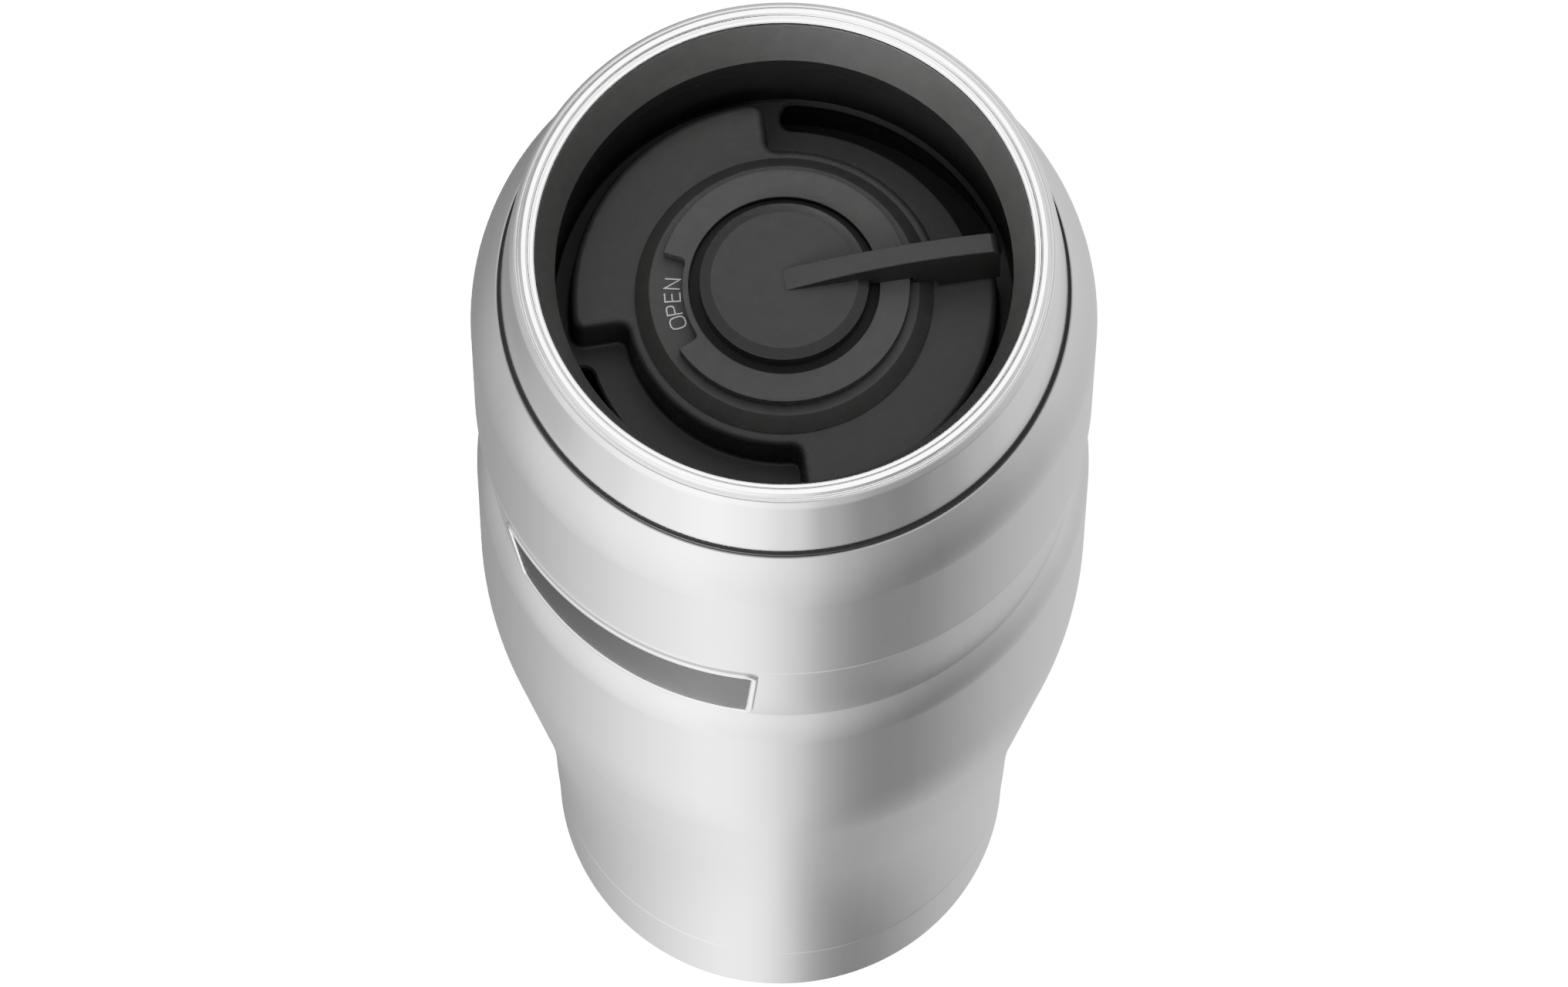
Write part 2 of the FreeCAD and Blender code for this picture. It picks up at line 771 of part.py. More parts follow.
def make_indicator_ring(shop, dims):
    """The ring that turns with the lever; its notch uncovers the word below it."""
    blank = shop.lathe("indicator_blank", straight(
        (dims.shaft_radius + dims.fit_gap, dims.ring_low_height),
        (dims.ring_outer_radius, dims.ring_low_height),
        (dims.ring_outer_radius, dims.ring_top_height),
        (dims.ring_inner_radius, dims.ring_top_height),
        (dims.ring_inner_radius, dims.ring_web_top),
        (dims.shaft_radius + dims.fit_gap, dims.ring_web_top)))
    notch = shop.tube("notch", dims.ring_outer_radius + CLEAR, dims.notch_inner_radius,
                      dims.ring_low_height - CLEAR, dims.ring_top_height + CLEAR,
                      dims.notch_start, dims.notch_sweep)
    return shop.cut("indicator_ring", blank, notch)


def make_lever(shop, dims):
    """The knob and the arched fin that grows out of its top, moulded as one."""
    body = shop.body("lever")
    shop.pad(body, "YZ_Plane", straight(
        (dims.lever_low_half * -1.0, dims.lever_low_height),
        (dims.lever_low_half, dims.lever_low_height),
        (dims.lever_top_half, dims.lever_crown),
        (dims.lever_top_half * -1.0, dims.lever_crown)), dims.lever_reach)
    over = dims.lever_crown + CLEAR
    arch_end = dims.lever_reach - dims.lever_corner
    corner_low = dims.lever_end_height - dims.lever_corner
    above = straight((ZERO, dims.knob_top_height)) + [Arc(dims.lever_arch, -1)]
    above += straight((arch_end, dims.lever_end_height)) + [Arc(dims.lever_corner, -1)]
    above += straight((dims.lever_reach, corner_low), (dims.lever_reach + CLEAR, corner_low),
                      (dims.lever_reach + CLEAR, over), (ZERO, over))
    shop.pocket(body, "XZ_Plane", above)
    under = dims.lever_low_height - CLEAR
    ring_clear = dims.ring_top_height + dims.lever_ring_gap
    dial_clear = dims.dial_top_height + dims.lever_dial_gap
    inside_knob = dims.knob_radius - dims.fit_gap
    shop.pocket(body, "XZ_Plane", straight(
        (ZERO, under), (ZERO, dims.lever_knob_depth), (inside_knob, dims.lever_knob_depth),
        (inside_knob, ring_clear), (dims.lever_ring_end, ring_clear),
        (dims.lever_ring_end, dial_clear), (dims.lever_dial_end, dial_clear),
        (dims.lever_dial_end, under)))
    bore = dims.shaft_radius + dims.fit_gap
    shop.turn(body, straight(
        (bore, dims.knob_low_height), (dims.knob_radius, dims.knob_low_height),
        (dims.knob_radius, dims.knob_edge_height), (dims.knob_top_radius, dims.knob_top_height),
        (ZERO, dims.knob_top_height), (ZERO, dims.knob_bore_top), (bore, dims.knob_bore_top)))
    return shop.place(body, azimuth=dims.lever_azimuth)


def cross_rod(shop, name, radius, half_length, height, azimuth):
    """A level rod through the axis, centred on it."""
    rod = shop.doc.addObject("Part::Cylinder", name)
    rod.setExpression("Radius", formula_of(radius))
    rod.setExpression("Height", formula_of(half_length * 2.0))
    level = FreeCAD.Rotation(FreeCAD.Vector(0, 1, 0), QUARTER_TURN)
    swing = FreeCAD.Rotation(FreeCAD.Vector(0, 0, 1), value_of(azimuth))
    turn = swing.multiply(level)
    along = turn.multVec(FreeCAD.Vector(0, 0, 1))
    start = FreeCAD.Vector(0, 0, value_of(height)) - along * value_of(half_length)
    rod.Placement = FreeCAD.Placement(start, turn)
    return rod


def make_drive_shaft(shop, dims):
    """The shaft from the knob to the valve, grooved for its ring and clip and cross-drilled."""
    groove_low = dims.o_ring_height - dims.o_ring_groove_half
    groove_top = dims.o_ring_height + dims.o_ring_groove_half
    clip_top = dims.clip_low_height + dims.clip_thick
    blank = shop.lathe("shaft_blank", straight(
        (ZERO, dims.shaft_low_height), (dims.shaft_radius, dims.shaft_low_height),
        (dims.shaft_radius, dims.clip_low_height), (dims.clip_seat_radius, dims.clip_low_height),
        (dims.clip_seat_radius, clip_top), (dims.shaft_radius, clip_top),
        (dims.shaft_radius, groove_low), (dims.o_ring_groove_radius, groove_low),
        (dims.o_ring_groove_radius, groove_top), (dims.shaft_radius, groove_top),
        (dims.shaft_radius, dims.shaft_top_height), (ZERO, dims.shaft_top_height)))
    hole = cross_rod(shop, "pin_hole", dims.pin_radius + dims.fit_gap, dims.pin_half + CLEAR,
                     dims.pin_height, dims.pin_azimuth)
    return shop.cut("drive_shaft", blank, hole)


def make_shaft_o_ring(shop, dims):
    """The seal in the shaft's groove."""
    ring = shop.doc.addObject("Part::Torus", "shaft_o_ring")
    ring.setExpression("Radius1", dims.o_ring_major.formula)
    ring.setExpression("Radius2", dims.o_ring_minor.formula)
    return shop.place(ring, dims.o_ring_height)


def make_shaft_clip(shop, dims):
    """The open spring clip that keeps the shaft from being pulled out of the deck."""
    gap = dims.fit_gap
    ring = shop.tube("clip_ring", dims.clip_radius, dims.clip_seat_radius + gap,
                     dims.clip_low_height + gap, dims.clip_low_height + dims.clip_thick - gap)
    mouth = shop.block("clip_mouth", dims.clip_radius + CLEAR, dims.clip_mouth,
                       dims.clip_low_height - CLEAR,
                       dims.clip_low_height + dims.clip_thick + CLEAR)
    return shop.cut("shaft_clip", ring, mouth)


def make_cam_pin(shop, dims):
    """The pin through the shaft that runs in the stem's spiral slots."""
    return cross_rod(shop, "cam_pin", dims.pin_radius, dims.pin_half, dims.pin_height,
                     dims.pin_azimuth)


def keys(shop, width, reach, low, high):
    """Two bars across the axis, along +Y and -Y."""
    return [shop.block(shop.unique("key"), reach, width, low, high, azimuth)
            for azimuth in (QUARTER_TURN, QUARTER_TURN + HALF_TURN)]


def make_valve_stem(shop, dims):
    """The keyed tube that the pin drives along its two spiral slots."""
    tube = shop.lathe("stem_tube", straight(
        (dims.screw_radius + dims.fit_gap, dims.stem_low_height),
        (dims.stem_radius, dims.stem_low_height),
        (dims.stem_radius, dims.stem_top_height),
        (dims.shaft_bore, dims.stem_top_height),
        (dims.shaft_bore, dims.stem_floor_height),
        (dims.screw_radius + dims.fit_gap, dims.stem_floor_height)))
    ribs = keys(shop, dims.key_width, dims.key_radius, dims.key_low_height, dims.stem_top_height)
    keyed = shop.fuse("stem_keyed", tube, *ribs)
    bore = shop.rod("stem_bore", dims.shaft_bore, dims.stem_floor_height,
                    dims.stem_top_height + CLEAR)
    slots = []
    for step in range(SLOT_STEPS + 1):
        part = step / SLOT_STEPS
        slots.append(cross_rod(shop, shop.unique("slot_step"), dims.pin_radius + dims.pin_play,
                               dims.stem_radius + CLEAR,
                               dims.pin_height - dims.valve_travel * part,
                               dims.pin_azimuth - dims.lever_travel * part))
    return shop.cut("valve_stem", keyed, bore, *slots)


def make_valve_guide(shop, dims):
    """The spider on the plug's floor that holds the stem upright and stops it turning."""
    low = dims.plug_floor_height + dims.plug_floor_thick
    ring = shop.rod("guide_ring", dims.guide_radius, low, dims.guide_top_height)
    arms = [shop.block(shop.unique("arm"), dims.arm_reach, dims.arm_width, low,
                       low + dims.arm_thick, dims.arm_azimuth + number * FULL_TURN / GUIDE_ARMS)
            for number in range(GUIDE_ARMS)]
    spider = shop.fuse("guide_spider", ring, *arms)
    bore = shop.rod("guide_hole", dims.guide_bore, low - CLEAR, dims.guide_top_height + CLEAR)
    play = dims.key_play * 2.0
    ways = keys(shop, dims.key_width + play, dims.key_radius + play, low - CLEAR,
                dims.guide_top_height + CLEAR)
    return shop.cut("valve_guide", spider, bore, *ways)


def make_valve_disc(shop, dims):
    """The plate that closes the seat from below, with a raised rim round its seal."""
    top = dims.stem_low_height
    low = top - dims.disc_thick
    hole = dims.screw_radius + dims.fit_gap
    rim = dims.valve_seal_outer + dims.fit_gap
    rim_top = top + dims.disc_rim
    return shop.lathe("valve_disc", straight(
        (hole, low), (dims.disc_radius, low), (dims.disc_radius, rim_top), (rim, rim_top),
        (rim, top), (hole, top)))


def make_valve_seal(shop, dims):
    """The washer that meets the seat."""
    return shop.tube("valve_seal", dims.valve_seal_outer, dims.valve_seal_inner,
                     dims.stem_low_height, dims.stem_low_height + dims.valve_seal_thick)


def make_valve_screw(shop, dims):
    """The pan-head screw that holds the disc to the stem."""
    head_top = dims.stem_low_height - dims.disc_thick
    head_low = head_top - dims.screw_head_thick
    return shop.lathe("valve_screw", straight(
        (ZERO, head_low), (dims.screw_head_radius, head_low), (dims.screw_head_radius, head_top),
        (dims.screw_radius, head_top), (dims.screw_radius, head_top + dims.screw_length),
        (ZERO, head_top + dims.screw_length)))


PIECES = (
    make_outer_shell,
    make_base_cap,
    make_shell_bottom,
    make_vacuum_seal,
    make_getter,
    make_inner_vessel,
    make_badge_frame,
    make_badge_plate,
    make_lid_skin,
    make_lid_collar,
    make_lid_plug,
    make_lid_gasket,
    make_seam_ring,
    make_lid_deck,
    make_dial_base,
    make_indicator_ring,
    make_lever,
    make_drive_shaft,
    make_shaft_o_ring,
    make_shaft_clip,
    make_cam_pin,
    make_valve_guide,
    make_valve_stem,
    make_valve_disc,
    make_valve_seal,
    make_valve_screw,
)


def check(doc, parts):
    """Stop if anything in the document failed, or if a part has no sound solid."""
    failed = [item.Name for item in doc.Objects
              if "Invalid" in item.State or "Error" in item.State]
    if failed:
        raise RuntimeError(f"failed objects: {failed}")
    for part in parts:
        if part.Shape.isNull() or not part.Shape.isValid() or not part.Shape.Solids:
            raise RuntimeError(f"{part.Label} has no valid solid")


def main():
    shop = Workshop()
    parts = []
    for make in PIECES:
        part = make(shop, shop.dims)
        part.Label = make.__name__.removeprefix("make_")
        parts.append(part)
    shop.doc.recompute()
    check(shop.doc, parts)
    os.makedirs("parts", exist_ok=True)
    for part in parts:
        part.Shape.exportStep(f"parts/{part.Label}.step")
        box = part.Shape.BoundBox
        print(f"{part.Label:16s} solids {len(part.Shape.Solids)} volume {part.Shape.Volume:10.1f}"
              f" z {box.ZMin:7.2f} to {box.ZMax:7.2f} radius {box.XMax:6.2f}")


main()
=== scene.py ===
import math

import bmesh
import bpy
from mathutils import Euler, Matrix, Vector
from mathutils.geometry import tessellate_polygon


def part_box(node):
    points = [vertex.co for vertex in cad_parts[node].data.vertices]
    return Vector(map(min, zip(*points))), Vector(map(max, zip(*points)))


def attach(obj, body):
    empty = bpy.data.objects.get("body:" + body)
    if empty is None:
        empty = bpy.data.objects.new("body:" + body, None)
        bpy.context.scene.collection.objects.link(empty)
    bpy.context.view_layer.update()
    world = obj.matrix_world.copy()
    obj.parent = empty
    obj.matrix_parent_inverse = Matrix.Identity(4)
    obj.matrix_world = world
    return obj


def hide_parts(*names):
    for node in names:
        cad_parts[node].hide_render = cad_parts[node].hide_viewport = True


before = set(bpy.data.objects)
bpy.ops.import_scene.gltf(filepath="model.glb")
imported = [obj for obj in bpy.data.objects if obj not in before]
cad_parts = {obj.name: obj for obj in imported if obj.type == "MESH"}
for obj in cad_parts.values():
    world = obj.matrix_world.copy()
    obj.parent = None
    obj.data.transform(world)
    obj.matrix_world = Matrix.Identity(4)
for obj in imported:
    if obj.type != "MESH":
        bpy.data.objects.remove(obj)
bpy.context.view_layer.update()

# Outlines are in millimetres, as (radius, height, fillet). Azimuths are degrees from +X.
MM = 0.001
TURN_STEPS = 240
FILLET_STEPS = 6
SHARP = math.radians(32)


def top_of(node):
    """The top of a CAD node, in millimetres."""
    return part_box(node)[1].z / MM


def foot_of(node):
    """The foot of a CAD node, in millimetres."""
    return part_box(node)[0].z / MM


def radius_of(node):
    """The outer radius of a round CAD node, in millimetres."""
    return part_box(node)[1].x / MM


# ---------------------------------------------------------------- outlines


def polar(radius, azimuth):
    turn = math.radians(azimuth)
    return Vector((radius * math.cos(turn), radius * math.sin(turn)))


def soften(corners, closed=True):
    """The outline with each corner that has a fillet replaced by an arc of that radius."""
    points = []
    count = len(corners)
    for index, corner in enumerate(corners):
        here = Vector(corner[:2])
        fillet = corner[2] if len(corner) > 2 else 0.0
        at_end = not closed and index in (0, count - 1)
        if fillet == 0.0 or at_end:
            points.append(here)
            continue
        before = (Vector(corners[index - 1][:2]) - here).normalized()
        after = (Vector(corners[(index + 1) % count][:2]) - here).normalized()
        half = before.angle(after) / 2.0
        inset = fillet / math.tan(half)
        centre = here + (before + after).normalized() * (fillet / math.sin(half))
        first = here + before * inset - centre
        last = here + after * inset - centre
        sweep = first.angle_signed(last)
        for step in range(FILLET_STEPS + 1):
            turn = -sweep * step / FILLET_STEPS
            points.append(centre + Matrix.Rotation(turn, 2) @ first)
    return points


def arc(start, end, radius, turn, steps=14):
    """Points strictly between start and end on an arc; turn is +1 with its centre on the left."""
    start = Vector(start[:2])
    end = Vector(end[:2])
    chord = end - start
    rise = math.sqrt(max(radius ** 2 - chord.length_squared / 4.0, 0.0))
    left = Vector((-chord.y, chord.x)).normalized()
    centre = (start + end) / 2.0 + left * rise * turn
    sweep = (start - centre).angle_signed(end - centre)
    return [tuple(centre + Matrix.Rotation(-sweep * step / steps, 2) @ (start - centre))
            for step in range(1, steps)]


def offset(loop, distance):
    """A closed loop moved outwards, across its own direction."""
    count = len(loop)
    moved = []
    for index, point in enumerate(loop):
        along = (loop[(index + 1) % count] - loop[index - 1]).normalized()
        moved.append(point + Vector((along.y, -along.x)) * distance)
    return moved


def ring_points(radius, steps=TURN_STEPS):
    return [polar(radius, 360.0 * step / steps) for step in range(steps)]


def banded_loop(bands, fillets, step=1.5):
    """A loop of arcs, each (radius, from azimuth, to azimuth), joined by radial walls."""
    corners = []
    for (radius, start, end), (first, last) in zip(bands, fillets):
        steps = max(2, int(abs(end - start) / step))
        for number in range(steps + 1):
            point = polar(radius, start + (end - start) * number / steps)
            fillet = first if number == 0 else last if number == steps else 0.0
            corners.append((point.x, point.y, fillet))
    return drop_crowded(corners, max(max(pair) for pair in fillets))


def drop_crowded(corners, reach):
    """Leave out the plain points that a neighbouring fillet would run over."""
    keep = []
    filleted = [Vector(c[:2]) for c in corners if c[2] > 0.0]
    for corner in corners:
        here = Vector(corner[:2])
        crowded = any((here - other).length < reach * 1.15 for other in filleted)
        if corner[2] > 0.0 or not crowded:
            keep.append(corner)
    return soften(keep)


# ---------------------------------------------------------------- meshes


class Build:
    """Collects loops, strips and caps in one mesh, in millimetres."""

    def __init__(self):
        self.bm = bmesh.new()

    def loop(self, points, height):
        return [self.bm.verts.new((p.x, p.y, height)) for p in points]

    def space_loop(self, points):
        return [self.bm.verts.new(p) for p in points]

    def strip(self, low, high):
        count = len(low)
        for index in range(count):
            after = (index + 1) % count
            corners = [low[index], low[after], high[after], high[index]]
            self.face(corners)

    def face(self, corners):
        unique = list(dict.fromkeys(corners))
        if len(unique) > 2:
            self.bm.faces.new(unique)

    def strips(self, loops):
        for low, high in zip(loops, loops[1:]):
            self.strip(low, high)

    def cap(self, outer, holes=(), up=True):
        """Fill a flat outline that may have holes in it."""
        rims = [outer, *holes]
        flat = [vert for rim in rims for vert in rim]
        for triangle in tessellate_polygon([[v.co for v in rim] for rim in rims]):
            corners = [flat[i] for i in triangle]
            face = self.bm.faces.new(corners)
            face.normal_update()
            if (face.normal.z > 0) != up:
                face.normal_flip()

    def turned(self, outline, closed=True, steps=TURN_STEPS):
        """Turn an outline of radius and height about the axis."""
        columns = []
        for point in outline:
            if abs(point[0]) < 1e-6:
                columns.append([self.bm.verts.new((0, 0, point[1]))] * steps)
            else:
                columns.append(self.loop(ring_points(point[0], steps), point[1]))
        if closed:
            columns.append(columns[0])
        self.strips(columns)

    def finish(self, name, material, weighted=False):
        bmesh.ops.remove_doubles(self.bm, verts=self.bm.verts, dist=1e-4)
        bmesh.ops.recalc_face_normals(self.bm, faces=self.bm.faces)
        bmesh.ops.scale(self.bm, vec=(MM, MM, MM), verts=self.bm.verts)
        mesh = bpy.data.meshes.new(name)
        self.bm.to_mesh(mesh)
        self.bm.free()
        mesh.shade_smooth()
        mesh.set_sharp_from_angle(angle=SHARP)
        mesh.materials.append(material)
        piece = bpy.data.objects.new(name, mesh)
        bpy.context.scene.collection.objects.link(piece)
        if weighted:
            modifier = piece.modifiers.new("weighted", "WEIGHTED_NORMAL")
            modifier.keep_sharp = True
            modifier.weight = 100
        return piece


def belongs(piece, body, slot, *nodes):
    """Hang a piece on the body it rides on and hide the CAD nodes it stands for; slot is not used.
    """
    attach(piece, body)
    if nodes:
        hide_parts(*nodes)
    return piece


def turned_piece(name, outline, material, closed=True, steps=TURN_STEPS):
    build = Build()
    build.turned(soften(outline, closed), closed, steps)
    return build.finish(name, material, weighted=True)


# ---------------------------------------------------------------- materials


class Nodes:
    """A new material's node tree, with short ways to add to it."""

    def __init__(self, name):
        self.material = bpy.data.materials.new(name)
        self.material.use_nodes = True
        self.tree = self.material.node_tree
        self.shader = self.tree.nodes["Principled BSDF"]

    def add(self, kind, **settings):
        node = self.tree.nodes.new(kind)
        for key, value in settings.items():
            setattr(node, key, value)
        return node

    def link(self, source, target):
        self.tree.links.new(source, target)

    def around(self, turn_scale, height_scale):
        """A position that counts evenly round the axis and along it, with no seam."""
        place = self.add("ShaderNodeTexCoord").outputs["Object"]
        flat = self.add("ShaderNodeVectorMath", operation="MULTIPLY")
        flat.inputs[1].default_value = (1, 1, 0)
        self.link(place, flat.inputs[0])
        unit = self.add("ShaderNodeVectorMath", operation="NORMALIZE")
        self.link(flat.outputs[0], unit.inputs[0])
        spread = self.add("ShaderNodeVectorMath", operation="SCALE")
        spread.inputs["Scale"].default_value = turn_scale
        self.link(unit.outputs[0], spread.inputs[0])
        rise = self.add("ShaderNodeVectorMath", operation="MULTIPLY")
        rise.inputs[1].default_value = (0, 0, height_scale)
        self.link(place, rise.inputs[0])
        total = self.add("ShaderNodeVectorMath", operation="ADD")
        self.link(spread.outputs[0], total.inputs[0])
        self.link(rise.outputs[0], total.inputs[1])
        return total.outputs[0]

    def place(self):
        return self.add("ShaderNodeTexCoord").outputs["Object"]

    def noise(self, vector, scale, detail=2.0):
        noise = self.add("ShaderNodeTexNoise")
        noise.inputs["Scale"].default_value = scale
        noise.inputs["Detail"].default_value = detail
        self.link(vector, noise.inputs["Vector"])
        return noise.outputs["Fac"]

    def ranged(self, value, low, high):
        node = self.add("ShaderNodeMapRange")
        node.inputs["To Min"].default_value = low
        node.inputs["To Max"].default_value = high
        self.link(value, node.inputs["Value"])
        return node.outputs["Result"]

    def tinted(self, value, dark, light):
        ramp = self.add("ShaderNodeValToRGB")
        ramp.color_ramp.elements[0].color = (*dark, 1)
        ramp.color_ramp.elements[1].color = (*light, 1)
        ramp.color_ramp.elements[0].position = 0.3
        ramp.color_ramp.elements[1].position = 0.7
        self.link(value, ramp.inputs["Fac"])
        return ramp.outputs["Color"]

    def bump(self, height, distance, strength=1.0):
        node = self.add("ShaderNodeBump")
        node.inputs["Distance"].default_value = distance
        node.inputs["Strength"].default_value = strength
        self.link(height, node.inputs["Height"])
        self.link(node.outputs["Normal"], self.shader.inputs["Normal"])


def grey(level, warm=0.0):
    return (level * (1 + warm), level, level * (1 - warm))


def steel(name, level, rough, stretch, lines=0.000003):
    """Stainless steel brushed round the axis, which draws its reflections out lengthways."""
    nodes = Nodes(name)
    shader = nodes.shader
    shader.inputs["Metallic"].default_value = 1.0
    shader.inputs["Anisotropic"].default_value = stretch
    shader.inputs["Anisotropic Rotation"].default_value = 0.25
    tangent = nodes.add("ShaderNodeTangent", direction_type="RADIAL", axis="Z")
    nodes.link(tangent.outputs[0], shader.inputs["Tangent"])
    streaks = nodes.noise(nodes.around(26.0, 3.0), 1.0, 4.0)
    nodes.link(nodes.tinted(streaks, grey(level * 0.965, 0.004), grey(level, 0.004)),
               shader.inputs["Base Color"])
    fine = nodes.noise(nodes.around(2.0, 5200.0), 1.0, 3.0)
    nodes.link(nodes.ranged(fine, rough * 0.86, rough * 1.14), shader.inputs["Roughness"])
    nodes.bump(fine, lines)
    return nodes.material


def plastic(name, level, rough, grain=0.000006, grain_scale=3800.0, shine=0.5):
    """Moulded plastic with a fine spark-eroded texture and slightly uneven sheen."""
    nodes = Nodes(name)
    shader = nodes.shader
    mottle = nodes.noise(nodes.place(), 420.0, 3.0)
    nodes.link(nodes.tinted(mottle, grey(level * 0.94, 0.01), grey(level * 1.06, 0.01)),
               shader.inputs["Base Color"])
    nodes.link(nodes.ranged(mottle, rough * 0.94, rough * 1.06), shader.inputs["Roughness"])
    shader.inputs["Specular IOR Level"].default_value = shine
    nodes.bump(nodes.noise(nodes.place(), grain_scale, 2.0), grain)
    return nodes.material


def make_materials():
    return {
        "shell": steel("brushed_shell", 0.66, 0.30, 0.70),
        "inside": steel("inner_steel", 0.60, 0.36, 0.60),
        "skin": steel("lid_skin_steel", 0.90, 0.17, 0.50, 0.0000015),
        "lip": steel("polished_lip", 0.93, 0.09, 0.20, 0.0000005),
        "bright": steel("badge_bright", 0.93, 0.09, 0.0, 0.0000003),
        "field": plastic("badge_field", 0.024, 0.46, shine=0.04),
        "collar": plastic("collar_plastic", 0.054, 0.40),
        "deck": plastic("deck_plastic", 0.046, 0.44),
        "dial": plastic("dial_plastic", 0.056, 0.44),
        # painted shade: near-black plastic for the hollow inside the C-ring, where shade falls
        # round the knob
        "ring_hollow_shade": plastic("ring_hollow_painted_shade", 0.004, 0.6),
        # painted shade: near-black plastic for the bowl's walls and undercut, where shade falls
        # under the collar
        "bowl_wall_shade": plastic("bowl_wall_painted_shade", 0.010, 0.5),
        "knob": plastic("knob_plastic", 0.034, 0.42),
        # painted shade: a darker copy of the knob plastic for its bevel
        "knob_bevel_shade": plastic("knob_bevel_painted_shade", 0.014, 0.30),
        "lever": plastic("lever_plastic", 0.036, 0.36, 0.000002),
        # painted shade: a darker copy of the lever plastic for the fin's sides
        "lever_flank_shade": plastic("lever_flank_painted_shade", 0.012, 0.50, 0.000002, shine=0.3),
        "silicone": plastic("silicone", 0.004, 0.5),
        "acetal": plastic("acetal", 0.62, 0.4),
        "print": plastic("white_print", 0.82, 0.5, 0.000001),
        "pellet": plastic("getter_pellet", 0.12, 0.7),
        "solder": plastic("solder_glass", 0.10, 0.2),
    }


# ---------------------------------------------------------------- the mug's body

SHELL_WALL = 0.7
VESSEL_WALL = 0.5
FLARE_START = 12.0
FLARE_RADIUS = 300.0
HIP_RADIUS = 105.0
HIP_HEIGHT = 102.0
BELLY = 41.28
LOWER_WALL = 32.27
SEAM_HEIGHT = 16.6


def on_flare(start_radius, height):
    """The wall's radius at a height on the first arc of the flare."""
    rise = height - FLARE_START
    return start_radius + FLARE_RADIUS - math.sqrt(FLARE_RADIUS ** 2 - rise ** 2)


def flare(start_radius, low, end_radius, end_height, steps=16):
    """A wall that flares out from low and turns upright at its top: arc, tangent line, arc."""
    reach = FLARE_RADIUS + HIP_RADIUS
    across = reach - (end_radius - start_radius)
    up = end_height - FLARE_START
    span = across ** 2 + up ** 2
    line = math.sqrt(span - reach ** 2)
    lean = math.atan2(up, across) - math.atan2(line, reach)
    first = math.asin((low - FLARE_START) / FLARE_RADIUS)
    points = []
    for step in range(steps + 1):
        turn = first + (lean - first) * step / steps
        points.append((start_radius + FLARE_RADIUS * (1 - math.cos(turn)),
                       FLARE_START + FLARE_RADIUS * math.sin(turn)))
    for step in range(steps + 1):
        turn = lean * (1 - step / steps)
        points.append((end_radius - HIP_RADIUS * (1 - math.cos(turn)),
                       end_height - HIP_RADIUS * math.sin(turn)))
    return points


RIDGE_HEIGHT = 125.6
GROOVE = (39.15, 131.2)
BAND_RADIUS = 41.05
BAND_LOW = 151.55
BAND_TOP = 175.4
SHOULDER_ARC = 15.0
RIM_RADIUS = 37.65


def shell_outside():
    """The outer shell's outside from the base seam to the rim."""
    rim = (RIM_RADIUS, top_of("outer_shell"))
    step = BELLY - GROOVE[0]
    rise = GROOVE[1] - RIDGE_HEIGHT
    ridge = (step ** 2 + rise ** 2) / (2 * step)
    shoulder = (BAND_RADIUS, BAND_TOP)
    points = flare(LOWER_WALL, SEAM_HEIGHT, BELLY, HIP_HEIGHT)
    points += [(BELLY, RIDGE_HEIGHT)]
    points += arc((BELLY, RIDGE_HEIGHT), GROOVE, ridge, 1)
    points += [(*GROOVE, 0.35)]
    points += [(BAND_RADIUS - 0.01, BAND_LOW - 0.17), (BAND_RADIUS - 0.16, BAND_LOW),
               (BAND_RADIUS, BAND_LOW + 0.17)]
    points += [(*shoulder, 0.5)]
    points += arc(shoulder, rim, SHOULDER_ARC, 1)
    points += [(*rim, 0.25)]
    return points


def make_outer_shell(materials):
    """The brushed outer wall, a sheet of even thickness."""
    rim = top_of("outer_shell")
    outside = shell_outside()
    inside = [(p[0] - SHELL_WALL, p[1]) for p in reversed(outside)]
    inside[0] = (RIM_RADIUS - SHELL_WALL, rim, 0.2)
    outline = [(*outside[0], 0.15)] + outside[1:] + inside
    piece = turned_piece("shell", outline, materials["shell"])
    return belongs(piece, "mug", "shell_steel", "outer_shell")


def make_base_cap(materials):
    """The pressed cup at the foot: a ring to stand on round a shallow recess."""
    top = top_of("base_cap")
    side = on_flare(LOWER_WALL, top)
    recess = 1.2
    floor = recess + SHELL_WALL
    outline = [
        (0.0, recess), (21.0, recess, 1.0), (22.5, 0.0, 0.8), (31.9, 0.0, 3.0), (31.96, 7.4),
        (side, top, 0.2), (side - SHELL_WALL, top, 0.2), (31.2, 3.0), (30.6, floor),
        (0.0, floor),
    ]
    piece = turned_piece("base_cup", outline, materials["shell"], closed=False)
    return belongs(piece, "mug", "shell_steel", "base_cap")


def make_inner_vessel(materials):
    """The cup that holds the drink, with its flared wall, straight neck and rolled rim."""
    floor = foot_of("inner_vessel")
    rim = top_of("inner_vessel")
    corner = 6.6
    neck = 35.1
    neck_start = 88.0
    low = 28.57
    wall = flare(low, floor + corner, neck, neck_start)
    lip = RIM_RADIUS - SHELL_WALL - 0.05
    outline = [(0.0, floor), (wall[0][0], floor, corner)] + wall[1:]
    outline += [(neck, rim - 0.6), (lip, rim - 0.6), (lip, rim, 0.15),
                (neck - VESSEL_WALL, rim, 0.4)]
    outline += [(p[0] - VESSEL_WALL, p[1]) for p in reversed(wall[1:])]
    outline += [(wall[0][0] - VESSEL_WALL, floor + VESSEL_WALL, corner - VESSEL_WALL),
                (0.0, floor + VESSEL_WALL)]
    piece = turned_piece("vessel", outline, materials["inside"], closed=False)
    return belongs(piece, "mug", "inner_steel", "inner_vessel")


# ---------------------------------------------------------------- the badge

BADGE_AZIMUTH = 236.5
BADGE_RIM = 1.0
BADGE_CORNER = 1.6
BADGE_PROUD = 0.5
BADGE_BACK = 0.05
FIELD_PROUD = 0.24


